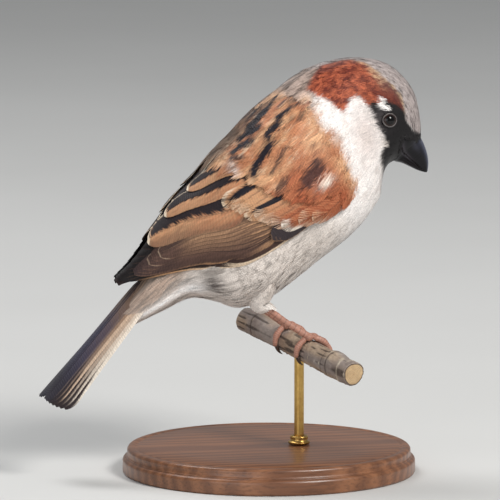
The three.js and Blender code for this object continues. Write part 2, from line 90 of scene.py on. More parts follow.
# The folded wings' envelope starts at this rib of the body, and counts its own ribs from there.
WING_FROM = 7
WING_RIBS = {
    "hind_neck": ((8.5, 122.2), (32.4, 81.4), 16.6),
    "shoulder": ((1.3, 116.8), (28.9, 76.8), 19.3),
    "mantle": ((-6.3, 110.5), (23.6, 71.7), 21.0),
    "back": ((-12.6, 103.9), (15.7, 66.0), 21.4),
    "mid": ((-17.6, 99.2), (7.2, 59.8), 20.6),
    "belly": ((-23.9, 92.0), (-2.5, 52.9), 19.0),
    "low_belly": ((-30.2, 86.0), (-9.4, 50.5), 16.4),
    "vent": ((-35.5, 79.0), (-16.4, 50.4), 13.4),
    "rump": ((-40.3, 72.6), (-25.2, 51.0), 10.6),
    "tail_root": ((-44.7, 67.2), (-34.6, 52.0), 8.0),
    "tip": ((-49.0, 63.2), (-43.0, 53.0), 5.2),
    "past_tip": ((-52.5, 59.8), (-48.5, 52.5), 3.6),
}
BILL_RIBS = {
    "base": ((47.1, 102.5), (38.8, 95.4), 4.1),
    "nostril": ((48.0, 100.6), (41.1, 94.9), 3.4),
    "middle": ((48.9, 97.9), (43.7, 93.7), 2.55),
    "fore": ((49.3, 95.1), (46.1, 92.6), 1.5),
    "tip": ((49.1, 92.5), (48.5, 91.9), 0.45),
}
GAPE_FROM, GAPE_TO = (41.6, 98.4), (48.9, 91.6)
EYE_X, EYE_Z, EYE_RADIUS, EYE_PROUD = 36.6, 109.2, 2.7, 0.9
TAIL_ROOT, TAIL_TIP = (-37.9, 60.3), (-69.8, 23.4)
TAIL_WIDTHS, TAIL_THICKNESSES = (12.0, 18.0), (4.2, 1.5)
TAIL_ROOF, TAIL_NOTCH, TAIL_SKEW, TAIL_ROLL = 1.5, 2.2, 1.3, math.radians(19)
PERCH_X, PERCH_Z, PERCH_RADIUS, PERCH_LENGTH = 9.5, 38.5, 3.5, 60.0
BARK = 0.4  # thickness of the bark that fills the clearance under the toes
PERCH_TURN, PERCH_SLOPE = math.radians(20), math.radians(9)
FOOT_SPACING, GAP = 13.0, 0.3
TOE_RADIUS, CLAW_RADIUS = 0.95, 0.62
HUB_ANGLE, HUB_RADIUS = 102, 1.5
# name: angle round the perch at the start, the end and the claw's end, and the sideways spread
TOES = {
    "hind": (112, 198, 246, -0.6),
    "inner": (92, -14, -58, -3.6),
    "middle": (92, -44, -90, 0.3),
    "outer": (92, -22, -66, 3.9),
}
HEELS = {"left": (-5.8, 7.0, 54.6), "right": (-4.6, -7.4, 54.0)}
TARSUS_RADIUS = 1.0
THIGH_RISE, THIGH_OVER_HEEL, THIGH_TOP_RADIUS, THIGH_LOW_RADIUS = 9.0, 3.6, 5.4, 2.2
BASE_RADIUS, BASE_HEIGHT = 45.0, 8.0
ROD_RADIUS, ROD_FOOT, ROD_TOP = 1.5, 3.3, 37.2
COLLAR_RADIUS, COLLAR_HEIGHT = 3.4, 2.6

# ------------------------------------------------------------------ colours


def rgb(r, g, b):
    """A linear colour from sRGB values of 0 to 255."""
    value = np.array([r, g, b]) / 255
    return np.where(value <= 0.04045, value / 12.92, ((value + 0.055) / 1.055) ** 2.4)


CROWN_GREY = rgb(184, 172, 169)
CROWN_DARK = rgb(104, 95, 93)
CHESTNUT = rgb(96, 30, 16)
# Painted highlight colour for the chestnut's glints.
CHESTNUT_GLINT = rgb(190, 98, 64)
PALE_LINE = rgb(206, 178, 140)
NAPE_GREY = rgb(178, 156, 144)
NAPE_DARK = rgb(84, 70, 62)
BLACK = rgb(17, 14, 16)
SOOT = rgb(62, 57, 58)
WHITE = rgb(238, 233, 230)
# Pinkish grey, used as a pale tone for mottling and flecks, and as painted shadow on the cheek.
CHEEK_GREY_AND_SHADE = rgb(218, 206, 201)
BELLY = rgb(232, 224, 217)
FLANK = rgb(208, 198, 190)
STREAK = rgb(126, 117, 110)
VENT = rgb(184, 160, 144)
BUFF = rgb(210, 164, 124)
RUFOUS = rgb(174, 110, 76)
RUST = rgb(152, 76, 48)
BACK_BROWN = rgb(132, 106, 86)
CREAM = rgb(236, 220, 196)
INK = rgb(30, 26, 34)
DARK_BROWN = rgb(48, 35, 33)
FLIGHT_BROWN = rgb(96, 70, 60)
EDGE_BUFF = rgb(186, 142, 104)
SLATE = rgb(64, 60, 66)
# Painted sheen: the blue-violet of a reflection on the tail's upper feathers.
TAIL_SHEEN_BLUE = rgb(58, 56, 78)
# Painted reflection: the blue-grey of a reflection laid on the bill.
BILL_REFLECTION_BLUE = rgb(98, 102, 120)
EYE_BROWN = rgb(36, 23, 18)
LID_GREY = rgb(116, 108, 104)
LEG_PINK = rgb(176, 128, 110)
CLAW_BROWN = rgb(70, 54, 46)
BARK_FAWN = rgb(188, 168, 148)
BARK_GREY = rgb(160, 148, 142)
BARK_DARK = rgb(74, 62, 56)
BARK_PALE = rgb(206, 194, 176)
WOOD_PALE = rgb(216, 190, 150)
WOOD_RING = rgb(168, 128, 88)
WALNUTS = rgb(112, 70, 44), rgb(128, 82, 52), rgb(140, 92, 60)
BRASS = rgb(206, 170, 100)
BRASS_DULL, BRASS_DARK = rgb(178, 140, 78), rgb(150, 112, 62)


def mix(a, b, share):
    share = np.clip(np.asarray(share, float), 0, 1)[..., None]
    return a * (1 - share) + b * share


def layered(colour, *layers):
    """A colour with others laid over it in turn, each by its share."""
    for other, share in layers:
        colour = mix(colour, other, share)
    return colour


def ramp(value, low, high):
    """A smooth rise from 0 at low to 1 at high."""
    x = np.clip((np.asarray(value, float) - low) / (high - low), 0, 1)
    return x * x * (3 - 2 * x)


def fall(value, low, high):
    return 1 - ramp(value, low, high)


def bump_at(value, centre, width):
    return np.exp(-(((np.asarray(value, float) - centre) / width) ** 2))


SOFT_INK = mix(INK, DARK_BROWN, 0.4)
WARM_EDGE = mix(BUFF, EDGE_BUFF, 0.5)

# ------------------------------------------------------------------ surfaces


def stacked(*values):
    return np.stack(np.broadcast_arrays(*values), -1)


def unit(v):
    return v / np.linalg.norm(v, axis=-1, keepdims=True)


def spline(table, t):
    """Rows of a table at t by uniform Catmull-Rom, as the solids are lofted."""
    last = len(table) - 1
    i = np.clip(np.floor(t).astype(int), 0, last - 1)
    f = (t - i)[..., None]
    padded = np.vstack([2 * table[0] - table[1], table, 2 * table[-1] - table[-2]])
    a, b, c, d = (padded[i + k] for k in range(4))
    return b + 0.5 * f * (c - a + f * (2 * a - 5 * b + 4 * c - d + f * (3 * (b - c) + d - a)))


def halves(row):
    """A rib's middle in the side view, and the arm from there to the back line."""
    back, belly = row[..., 0:2], row[..., 2:4]
    return (back + belly) / 2, (back - belly) / 2


def fuller(value):
    return np.sign(value) * np.abs(value) ** (2 / FULLNESS)


def turn_head(p, share):
    angle = HEAD_TURN * share
    x, y = p[..., 0] - HEAD_PIVOT_X, p[..., 1]
    c, s = np.cos(angle), np.sin(angle)
    return stacked(HEAD_PIVOT_X + x * c - y * s, x * s + y * c, p[..., 2])


class Loft:
    """A surface through ribs. Its places are (rib, angle in degrees), and grow stands off it."""

    def __init__(self, ribs, turn="none"):
        self.table = np.array([[*back, *belly, half] for back, belly, half in ribs.values()])
        self.last = len(self.table) - 1
        self.turn = turn

    def flat(self, t, phi, grow=0.0):
        """The point before the head is turned."""
        t, phi, grow = np.broadcast_arrays(np.asarray(t, float), phi, grow)
        row = spline(self.table, t)
        middle, arm = halves(row)
        arm = arm * (1 + grow / np.linalg.norm(arm, axis=-1))[..., None]
        angle = np.radians(phi)
        xz = middle + arm * fuller(np.cos(angle))[..., None]
        side = -np.maximum(np.maximum(row[..., 4], 0.3) + grow, 0.1) * fuller(np.sin(angle))
        return stacked(xz[..., 0], side, xz[..., 1])

    def point(self, t, phi, grow=0.0):
        p = self.flat(t, phi, grow)
        if self.turn == "neck":
            return turn_head(p, fall(t, CROWN_RIB, WING_FROM))
        return turn_head(p, 1.0) if self.turn == "head" else p

    def side_at(self, x, z):
        """The half width of the surface at a place in the side view."""
        row = spline(self.table, np.linspace(0, 7, 2000))
        middle, arm = halves(row)
        away = np.array([x, z]) - middle
        across = np.abs(away[:, 0] * arm[:, 1] - away[:, 1] * arm[:, 0])
        k = (across / np.linalg.norm(arm, axis=1)).argmin()
        rise = abs((away[k] * arm[k]).sum() / (arm[k] ** 2).sum())
        return row[k, 4] * max(0, 1 - rise**FULLNESS) ** (1 / FULLNESS)


class Tube:
    """A round surface along a path. Its places are (share of the length, angle in degrees)."""

    last = 1.0

    def __init__(self, points, radius):
        self.points, self.radius = np.array(points, float), radius

    def path(self, s):
        """A point of the axis, which runs straight on past its end."""
        spans = len(self.points) - 1
        last = self.points[-1] - self.points[-2]
        past = np.maximum(s - 1, 0)[..., None]
        return spline(self.points, np.minimum(s, 1) * spans) + past * spans * last

    def point(self, u, angle, grow=0.0):
        u, angle, grow = np.broadcast_arrays(np.asarray(u, float), angle, grow)
        centre = self.path(u)
        ahead = unit(self.path(u + 0.01) - centre)
        side = unit(np.cross(ahead, [0.0, 1.0, 0.0]))
        a = np.radians(angle)[..., None]
        out = side * np.cos(a) + np.cross(ahead, side) * np.sin(a)
        return centre + out * (self.radius(u) + grow)[..., None]


class TailFan:
    """The closed tail's upper face. Its places are (share of the length, place across, -1 to 1)."""

    last = 1.0

    def __init__(self):
        self.root, tip = (np.array([x, 0.0, z]) for x, z in (TAIL_ROOT, TAIL_TIP))
        self.length = np.linalg.norm(tip - self.root)
        self.axis = (tip - self.root) / self.length
        left = np.array([0.0, 1.0, 0.0])
        up = np.cross(left, self.axis)
        c, s = math.cos(TAIL_ROLL), math.sin(TAIL_ROLL)
        self.across, self.lift = left * c + up * s, up * c - left * s

    def point(self, s, v, grow=0.0):
        s, v, grow = np.broadcast_arrays(np.asarray(s, float), v, grow)
        between = lambda pair, share: pair[0] + (pair[1] - pair[0]) * share
        u = np.clip(np.abs(v), 0, 1.1)
        thick = between(TAIL_THICKNESSES, np.clip(s, 0, 1) ** 0.7)
        ahead = s * (self.length - TAIL_NOTCH * (1 - u**1.5) + TAIL_SKEW * v)
        height = thick / 2 * np.sqrt(np.clip(1 - 0.75 * v * v, 0, 1))
        height = (height - TAIL_ROOF * (v * v - 0.4) + grow)[..., None]
        side = (v * between(TAIL_WIDTHS, s) / 2)[..., None]
        return self.root + self.axis * ahead[..., None] + self.across * side + self.lift * height


def slopes(surface, t, phi, grow):
    """Steps along t and phi (a degree) and the outward normal, at places on a surface."""
    e = 0.02 * min(1.0, surface.last)
    along = (surface.point(t + e, phi, grow) - surface.point(t - e, phi, grow)) / (2 * e)
    around = (surface.point(t, phi + 1, grow) - surface.point(t, phi - 1, grow)) / 2
    return along, around, unit(surface.point(t, phi, grow + 0.1) - surface.point(t, phi, grow))


def steps_for(along, around, v):
    """The steps in t and phi that move a point on the surface by the vector v."""
    dot = lambda a, b: (a * b).sum(-1)
    aa, ar, rr = dot(along, along), dot(along, around), dot(around, around)
    av, rv = dot(along, v), dot(around, v)
    det = np.maximum(aa * rr - ar * ar, 1e-9)
    return (rr * av - ar * rv) / det, (aa * rv - ar * av) / det


BODY = Loft(BODY_RIBS, "neck")
WING = Loft(WING_RIBS)
BILL = Loft(BILL_RIBS, "head")

# ------------------------------------------------------------------ meshes and materials


def placed(name, data):
    """A new object of the scene with this data."""
    thing = bpy.data.objects.new(name, data)
    bpy.context.scene.collection.objects.link(thing)
    return thing


def grid_faces(rows, columns, closed=True):
    """Quads of a grid of points, wrapped round its columns if closed."""
    wraps = columns if closed else columns - 1
    r, c = np.meshgrid(np.arange(rows - 1), np.arange(wraps), indexing="ij")
    here, there = r * columns, (c + 1) % columns
    quads = np.stack([here + c, here + columns + c, here + columns + there, here + there], -1)
    return quads.reshape(-1, 4)


def strip_faces(count, rows):
    """Quads of a number of strips, each through some rows of two points."""
    one = np.array([[2 * k, 2 * k + 1, 2 * k + 3, 2 * k + 2] for k in range(rows - 1)])
    return (np.arange(count)[:, None, None] * 2 * rows + one).reshape(-1, 4)


class Parts:
    """Mesh pieces gathered into one object, with a colour, a place on its vane and a place on the
    bake map for each point. Only pieces with bake places get the OFBake map."""

    def __init__(self):
        self.points, self.faces, self.colours, self.vanes, self.places = [], [], [], [], []
        self.count = 0

    def add(self, points, faces, colours, vanes=(0, 0, 0), places=(0, 0)):
        points = points.reshape(-1, 3)
        rows = (self.colours, colours, 3), (self.vanes, vanes, 3), (self.places, places, 2)
        for kept, values, width in rows:
            kept.append(np.broadcast_to(np.reshape(values, (-1, width)), (len(points), width)))
        self.points.append(points)
        self.faces.append(np.asarray(faces) + self.count)
        self.count += len(points)

    def add_tube(self, rings, colours, places=(0, 0)):
        """A closed skin through rings, with small end caps."""
        rows, sides = rings.shape[:2]
        if np.ndim(colours) > 1:
            colours = np.concatenate([colours[:1], colours, colours[-1:]])
        caps = [rings[k].mean(0) + (rings[k] - rings[k].mean(0)) * 0.02 for k in (0, -1)]
        rings = np.concatenate([caps[0][None], rings, caps[1][None]])
        self.add(rings, grid_faces(rows + 2, sides), colours, places=places)

    def build(self, name, slot, material, replaces=()):
        faces = np.concatenate(self.faces)
        mesh = bpy.data.meshes.new(name)
        mesh.vertices.add(self.count)
        points = (np.concatenate(self.points) * MM).astype(np.float32)
        mesh.vertices.foreach_set("co", points.ravel())
        mesh.loops.add(faces.size)
        mesh.loops.foreach_set("vertex_index", faces.ravel().astype(np.int32))
        mesh.polygons.add(len(faces))
        starts = np.arange(0, faces.size, faces.shape[1], dtype=np.int32)
        mesh.polygons.foreach_set("loop_start", starts)
        mesh.update(calc_edges=True)
        mesh.polygons.foreach_set("use_smooth", np.full(len(faces), True))
        tint = np.ones((self.count, 4), np.float32)
        tint[:, :3] = np.clip(np.concatenate(self.colours), 0, 1)
        layer = mesh.attributes.new("tint", "FLOAT_COLOR", "POINT")
        layer.data.foreach_set("color", tint.ravel())
        vanes = np.concatenate(self.vanes).astype(np.float32)
        layer = mesh.attributes.new("vane", "FLOAT_VECTOR", "POINT")
        layer.data.foreach_set("vector", vanes.ravel())
        places = np.concatenate(self.places)[faces.ravel()].astype(np.float32)
        if places.any():
            mesh.uv_layers.new(name="OFBake").data.foreach_set("uv", places.ravel())
        mesh.validate()
        mesh.materials.append(material)
        thing = placed(name, mesh)
        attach(thing, "root")
        if replaces:
            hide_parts(*replaces)


class Nodes:
    """Short calls for building a material's node tree."""

    def __init__(self, name):
        self.material = bpy.data.materials.new(name)
        self.material.use_nodes = True
        self.tree = self.material.node_tree
        self.shader = self.tree.nodes["Principled BSDF"]

    def new(self, kind, inputs=None, **settings):
        node = self.tree.nodes.new("ShaderNode" + kind)
        for key, value in settings.items():
            setattr(node, key, value)
        for key, value in (inputs or {}).items():
            self.put(node.inputs[key], value)
        return node

    def put(self, socket, value):
        if isinstance(value, bpy.types.NodeSocket):
            self.tree.links.new(value, socket)
        else:
            socket.default_value = value

    def set(self, **inputs):
        for key, value in inputs.items():
            self.put(self.shader.inputs[key.replace("_", " ")], value)

    def math(self, operation, a, b=0.0, c=0.0):
        return self.new("Math", {0: a, 1: b, 2: c}, operation=operation).outputs[0]

    def scaled(self, value, gain, offset):
        return self.math("MULTIPLY_ADD", value, gain, offset)

    def attribute(self, name, output="Color"):
        return self.new("Attribute", attribute_name=name).outputs[output]

    def place(self, scale=None):
        """Places on the object, stretched by three scales if given."""
        place = self.new("TexCoord").outputs["Object"]
        return self.new("Mapping", {"Vector": place, "Scale": scale}).outputs[0] if scale else place

    def noise(self, scale, detail=3.0, roughness=0.6, vector=None):
        inputs = {"Scale": scale, "Detail": detail, "Roughness": roughness}
        inputs["Vector"] = vector or self.place()
        return self.new("TexNoise", inputs).outputs[0]

    def ramp(self, value, *stops):
        node = self.new("ValToRGB", {"Fac": value})
        while len(node.color_ramp.elements) < len(stops):
            node.color_ramp.elements.new(0.5)
        for element, (place, colour) in zip(node.color_ramp.elements, stops):
            element.position = place
            element.color = (*colour, 1.0)
        return node.outputs["Color"]

    def multiplied(self, a, b, share=1.0):
        node = self.new("Mix", data_type="RGBA", blend_type="MULTIPLY")
        for key, value in ((0, share), (6, a), (7, b)):
            self.put(node.inputs[key], value)
        return node.outputs[2]

    def shaded(self, shade):
        """The mesh's own tint, darkened by a number."""
        grey = self.new("CombineColor", {0: shade, 1: shade, 2: shade}).outputs[0]
        return self.multiplied(self.attribute("tint"), grey)

    def bump(self, height, distance, strength):
        inputs = {"Height": height, "Distance": distance * MM, "Strength": strength}
        self.set(Normal=self.new("Bump", inputs).outputs[0])


def feather_material(name, roughness, barbs, sheen, gloss):
    """Plumage: the tint that each vane carries, with barb lines across it and a little mottling."""
    n = Nodes(name)
    across, along, seed = n.new("SeparateXYZ", {0: n.attribute("vane", "Vector")}).outputs
    lean = n.scaled(n.math("ABSOLUTE", across), -0.35, along)
    lines = n.math("SINE", n.math("MULTIPLY", lean, barbs))
    speckle = n.noise(2600.0, 2.0)
    shade = n.scaled(lines, 0.07, n.scaled(speckle, 0.5, 0.76))
    n.set(Base_Color=n.shaded(n.math("ADD", shade, n.math("MULTIPLY", seed, 0.12))))
    n.set(Roughness=n.scaled(speckle, 0.2, roughness - 0.1))
    n.set(Sheen_Weight=sheen, Sheen_Roughness=0.4, Specular_IOR_Level=gloss)
    n.bump(n.math("ADD", lines, n.math("MULTIPLY", speckle, 2.0)), 0.03, 0.5)
    return n.material


def horn_material(name, roughness, coat, gloss=0.5):
    n = Nodes(name)
    grain = n.noise(1400.0)
    scratch = n.noise(420.0, 2.0)
    n.set(Base_Color=n.shaded(n.scaled(grain, 0.5, 0.75)))
    n.set(Roughness=n.scaled(scratch, 0.35, roughness - 0.17))
    n.set(Coat_Weight=coat, Coat_Roughness=0.15, Specular_IOR_Level=gloss)
    n.bump(n.scaled(scratch, 1.5, grain), 0.05, 0.5)
    return n.material


def bark_material():
    n = Nodes("bark_twig")
    grain = n.noise(900.0, 5.0, 0.7)
    stain = n.ramp(n.noise(120.0), (0.35, (0.72, 0.66, 0.62)), (0.65, (1.0, 1.0, 0.98)))
    n.set(Base_Color=n.multiplied(n.shaded(n.scaled(grain, 0.7, 0.62)), stain))
    n.set(Roughness=n.scaled(grain, 0.3, 0.62))
    n.bump(grain, 0.25, 0.7)
    return n.material


def skin_material():
    n = Nodes("leg_scales")
    cells = n.new("TexVoronoi", {"Vector": n.place(), "Scale": 1500.0}).outputs["Distance"]
    grain = n.noise(700.0)
    n.set(Base_Color=n.shaded(n.scaled(grain, 0.6, 0.7)), Roughness=n.scaled(grain, 0.25, 0.38))
    n.set(Subsurface_Weight=0.08, Subsurface_Radius=(1.0, 0.4, 0.25), Subsurface_Scale=0.0006)
    n.bump(n.math("ADD", cells, n.math("MULTIPLY", grain, 0.5)), 0.08, 0.6)
    return n.material


def wood_material():
    n = Nodes("turned_wood")
    inputs = {"Vector": n.place((6.0, 60.0, 60.0)), "Scale": 1.3, "Distortion": 5.0}
    inputs.update({"Detail": 3.0, "Detail Scale": 1.4})
    figure = n.new("TexWave", inputs, wave_type="RINGS").outputs["Fac"]
    pores = n.noise(1.0, vector=n.place((60.0, 1500.0, 1500.0)))
    base = n.ramp(figure, *zip((0.0, 0.55, 1.0), WALNUTS))
    dark = n.ramp(pores, (0.36, (0.6, 0.56, 0.52)), (0.52, (1, 1, 1)))
    n.set(Base_Color=n.multiplied(base, dark, 0.8), Roughness=n.scaled(pores, 0.2, 0.3))
    n.set(Coat_Weight=0.35, Coat_Roughness=0.22)
    n.bump(pores, 0.06, 0.5)
    return n.material


def brass_material():
    n = Nodes("drawn_brass")
    brush = n.noise(1.0, vector=n.place((3000.0, 3000.0, 90.0)))
    spots = n.noise(260.0, 4.0)
    n.set(Base_Color=n.ramp(spots, (0.35, BRASS_DULL), (0.6, BRASS), (0.8, BRASS_DARK)))
    n.set(Metallic=1.0, Roughness=n.scaled(brush, 0.18, n.scaled(spots, 0.2, 0.16)))
    n.bump(brush, 0.02, 0.4)
    return n.material


def eye_material():
    n = Nodes("eye_gloss")
    cloud = n.ramp(n.noise(900.0), (0.3, (0.85, 0.85, 0.85)), (0.7, (1, 1, 1)))
    n.set(Base_Color=n.multiplied(n.attribute("tint"), cloud), Roughness=0.12)
    n.set(Coat_Weight=0.12, Coat_Roughness=0.02, Specular_IOR_Level=0.25)
    return n.material


# ------------------------------------------------------------------ markings


def patchy(x, y, seed=0):
    """Smooth noise from 0 to 1 over a plane."""
    xi, yi = np.floor(x).astype(np.int64), np.floor(y).astype(np.int64)
    fx, fy = x - xi, y - yi
    fx, fy = fx * fx * (3 - 2 * fx), fy * fy * (3 - 2 * fy)

    def corner(i, j):
        n = (i * 374761393 + j * 668265263 + seed * 982451653) & 0x7FFFFFFF
        n = ((n ^ (n >> 13)) * 1274126177) & 0x7FFFFFFF
        return ((n ^ (n >> 16)) & 0xFFFF) / 0xFFFF

    low, high = (corner(xi, j) * (1 - fx) + corner(xi + 1, j) * fx for j in (yi, yi + 1))
    return low * (1 - fy) + high * fy


def inside(outline, x, z):
    """How far a place in the side view lies inside (+) or outside (-) an outline."""
    p = np.stack([x, z], -1)[..., None, :]
    a = np.array(outline, float)
    ab = np.roll(a, -1, 0) - a
    share = np.clip(((p - a) * ab).sum(-1) / (ab**2).sum(-1), 0, 1)
    near = np.linalg.norm(p - a - share[..., None] * ab, axis=-1).min(-1)
    above = (a[:, 1] > p[..., 1]) != (a[:, 1] + ab[:, 1] > p[..., 1])
    height = np.where(ab[:, 1] == 0, 1e-9, ab[:, 1])
    crossing = a[:, 0] + (p[..., 1] - a[:, 1]) / height * ab[:, 0]
    odd = (above & (p[..., 0] < crossing)).sum(-1) % 2 == 1
    return np.where(odd, near, -near)


# Ribs and, at each, the angle round the head of an edge between colours.
CROWN_EDGE = (
    (0.4, 1.2, 2.0, 2.4, 2.6, 2.85, 3.25, 3.6, 4.0, 4.3, 4.6, 5.1, 6.4),
    (38, 60, 73, 65, 58, 53, 49, 46, 42, 33, 20, 9, 8),
)
CHESTNUT_LOW = (
    (2.2, 3.2, 4.0, 4.6, 4.85, 5.1, 5.4, 5.8, 6.1, 6.35, 6.6, 6.9, 7.05),
    (76, 76, 77, 78, 74, 66, 64, 70, 72, 65, 56, 45, 35),
)
CHESTNUT_TOP_RIBS, CHESTNUT_TOP, CHESTNUT_TOP_END = (5.9, 6.3, 7.0), (4, 15, 29), (8, 22, 34)
# Outlines in the side view.
MASK = (
    (48, 103), (46, 104.9), (43, 106.4), (42.3, 109), (41.9, 111.5), (40.5, 113.1), (39, 114.2),
    (36.8, 115.2), (34, 114.9), (31.3, 114.9), (30.6, 114), (32.2, 110.6), (33.4, 107.7),
    (35.3, 105.1), (35.9, 103),
)  # fmt: skip
BIB = (
    (35.8, 104.2), (35.6, 101.4), (34.6, 98.8), (34.6, 96), (35.4, 92.6), (36.2, 90), (41, 90),
    (49, 98), (49, 103.6), (44, 104.6),
)  # fmt: skip
NECK_PATCH = (
    (12.1, 115.7), (16.2, 115.4), (20.3, 111.5), (19.3, 108.1), (16.3, 107.2), (13.3, 109.6),
    (12.4, 112.2),
)  # fmt: skip
BROW_SPOTS = (
    ((33.8, 116.0), (34.6, 116.6), (36.1, 115.4), (35.6, 114.8)),
    ((33.5, 114.3), (34.3, 114.9), (37.2, 113.3), (37.4, 112.6), (36.6, 112.4), (34.5, 113.4)),
)
GAPE_FEATHERS = ((34.9, 103.9), (36.7, 102.8), (37.0, 101.4), (35.4, 100.6), (34.4, 101.6))
# The line of the face's feathers behind the bill: angles, and the ribs that it crosses there.
FACE_LINE = (
    (0, 28, 60, 76, 86, 92, 96, 100, 110, 131, 180),
    (0.12, 0.22, 0.62, 0.98, 1.38, 1.62, 1.42, 1.12, 0.72, 0.12, 0.05),
)

BODY_RIB_MM, BODY_DEGREE_MM = 9.0, 0.3  # length of a rib's step and of a degree on the body


def plumage(t, phi):
    """The colour of the soft plumage at places on the body."""
    a = np.abs(phi)
    flat = BODY.flat(t, a)
    x, z = flat[..., 0], flat[..., 2]
    run, girth = t * BODY_RIB_MM, a * BODY_DEGREE_MM
    streaks = patchy(run / 4.5, girth / 0.7, 1)
    mottle = patchy(run / 1.6, girth / 1.4, 2)
    flecks = patchy(run / 0.9, girth / 0.45, 9)
    crown_edge, low = np.interp(t, *CROWN_EDGE), np.interp(t, *CHESTNUT_LOW)

    flank = ramp(t, 8, 10) * fall(a, 132, 165)
    coverts = ramp(t, 14.0, 15.2) * (1 - 0.75 * ramp(a, 102, 112)) * 0.9
    # Dark strokes between the belly and the vent: partly streaks, partly a painted shadow gap.
    vent_streak_shadow = bump_at(t, 13.6, 0.45) * bump_at(a, 112, 15) * ramp(streaks, 0.2, 0.5) * 0.9
    under = layered(
        mix(WHITE, BELLY, ramp(t, 8, 10.5)),
        (FLANK, flank * 0.75),
        (STREAK, ramp(streaks, 0.62, 0.85) * ramp(t, 8, 9.5) * (0.25 + 0.4 * flank)),
        (mix(VENT, STREAK, ramp(streaks, 0.35, 0.8)), coverts),
        # The undertail's white strip, painted 15% brighter than the white as painted light.
        (WHITE * 1.15, bump_at(a, 114, 13) * ramp(t, 13.6, 14.4)),
        (DARK_BROWN, vent_streak_shadow),
    )
    over = layered(
        mix(BUFF, BACK_BROWN, ramp(t, 10, 12)),
        (DARK_BROWN, ramp(streaks, 0.55, 0.8) * 0.6),
        (mix(VENT, STREAK, ramp(streaks, 0.3, 0.75) * 0.8), ramp(t, 14.2, 15.2) * ramp(a, 22, 45)),
    )
    cheek = layered(
        # Painted shadow: the white is greyed toward pinkish grey round (29, 105) on the cheek,
        # where shade falls.
        mix(WHITE, CHEEK_GREY_AND_SHADE, bump_at(x, 29, 6) * bump_at(z, 105, 9)),
        (CHEEK_GREY_AND_SHADE, ramp(mottle, 0.5, 0.9) * 0.5),
        (FLANK, ramp(patchy(run / 3.5, girth / 0.6, 12), 0.6, 0.9) * 0.35),
    )
    head = 1 - ramp(t, 6.9, 7.4) * fall(a, 60, 85)
    nape = mix(NAPE_GREY, NAPE_DARK, ramp(streaks, 0.35, 0.75) * 0.8)

    # Painted highlights: glints of a paler, orange chestnut are flecked over the chestnut, fewer
    # toward the front.
    glints = ramp(0.35 * mottle + 0.65 * flecks, 0.34, 0.7) * (0.95 - 0.72 * fall(t, 3.7, 4.7))
    chestnut = layered(
        mix(CHESTNUT, CHESTNUT_GLINT, glints),
        (BLACK, ramp(flecks, 0.72, 0.95) * 0.3 + 0.2 * fall(t, 3.6, 4.6)),
        (CROWN_DARK, bump_at(a, crown_edge, 10) * 0.25),
    )
    band = fall(a, low - 2.5, low + 2.5)
    band = band * ramp(t, 2.2, 2.4) * fall(t, 6.95, 7.3)
    top, top_end = (np.interp(t, CHESTNUT_TOP_RIBS, v) for v in (CHESTNUT_TOP, CHESTNUT_TOP_END))
    band = band * ramp(a, top, top_end)

    speckles = ramp(streaks, 0.5, 0.85) * 0.35 + ramp(flecks, 0.45, 0.8) * 0.7
    dark_rim = ramp(patchy(run / 3.0, girth / 0.5, 4), 0.66, 0.8) * bump_at(a, crown_edge - 4, 9)
    crown = layered(
        mix(CROWN_GREY, CROWN_DARK, speckles),
        (BLACK, dark_rim * fall(t, 3, 4) * 0.8),
        (SOOT, fall(t, 0.15, 0.75)),
    )
    # A mottled pale patch over the chestnut just below the crown's edge: partly pale feather
    # fringes, partly painted highlight.
    fringe_and_highlight = bump_at(t, 4.3, 0.35) * bump_at(a, crown_edge + 7, 8) * ramp(mottle, 0.35, 0.6)
    border = bump_at(a, crown_edge + 1, 3.0) * ramp(t, 2.0, 2.5) * fall(t, 4.6, 5.2)

    chin = (a > 164) & (t < 6.3)
    black = np.maximum(ramp(inside(MASK, x, z), -0.5, 0.4), ramp(inside(BIB, x, z), -0.6, 0.5))
    black = np.maximum(black, chin * ramp(a, 163, 168) * fall(t, 5.6, 6.4))
    forehead = fall(t, 2.1, 2.4) * ramp(a, crown_edge - 2, crown_edge + 2) * ramp(z, 101, 103)
    black = np.maximum(black, forehead)
    ink = mix(BLACK, SOOT, bump_at(x, 34, 2.6) * bump_at(z, 109.5, 3.5) * 0.9)
    corner = ramp(inside(GAPE_FEATHERS, x, z), -0.4, 0.3) * ramp(flecks, 0.3, 0.55)
    spots = (ramp(inside(outline, x, z), -0.35, 0.15) * (t < 7) for outline in BROW_SPOTS)
    return layered(
        over,
        (under, ramp(a, 74, 92)),
        (cheek, head * fall(t, 7.2, 8.2)),
        (nape, ramp(t, 5.7, 6.2) * fall(t, 7.6, 8.1) * fall(a, 30, 52)),
        (chestnut, band),
        (crown, fall(a, crown_edge - 3, crown_edge + 2) * fall(t, 6.0, 6.7)),
        (PALE_LINE, fringe_and_highlight * ramp(flecks, 0.3, 0.6) * 0.75),
        (PALE_LINE, border * ramp(flecks, 0.35, 0.65) * 0.65),
        (WHITE, ramp(inside(NECK_PATCH, x, z), -0.9, 0.7)),
        (ink, black * (t < 7)),
        (FLANK, corner * (t < 7) * 0.85),
        *((WHITE, spot) for spot in spots),
    )


# A feather's painter takes s, from 0 at its root to 1 at its tip, v, from -1 to 1 across it, and a
# noise from -1 to 1 that each barb has for itself.


def grain(s, v, seed):
    """Streaks along a vane, which drift a little toward its edge."""
    return patchy(s * 5.0 + 3, (v - 0.9 * s) * 9.0 + 20, seed)


def primary_web(s, v):
    web = mix(FLIGHT_BROWN, DARK_BROWN, 0.3 + 0.7 * grain(s, v, 22))
    return mix(web, BLACK, ramp(s, 0.2, 0.75) * 0.95)


def paint_primary(s, v, noise):
    return mix(primary_web(s, v), FLIGHT_BROWN, ramp(v + noise * 0.02, 0.88, 0.96) * 0.5)


def paint_outer_primary(s, v, noise):
    edge = mix(CREAM, EDGE_BUFF, 0.35 + ramp(s, 0.5, 0.75) * 0.65)
    return mix(primary_web(s, v), edge, ramp(v + noise * 0.02, 0.74, 0.84) * fall(s, 0.75, 0.95))


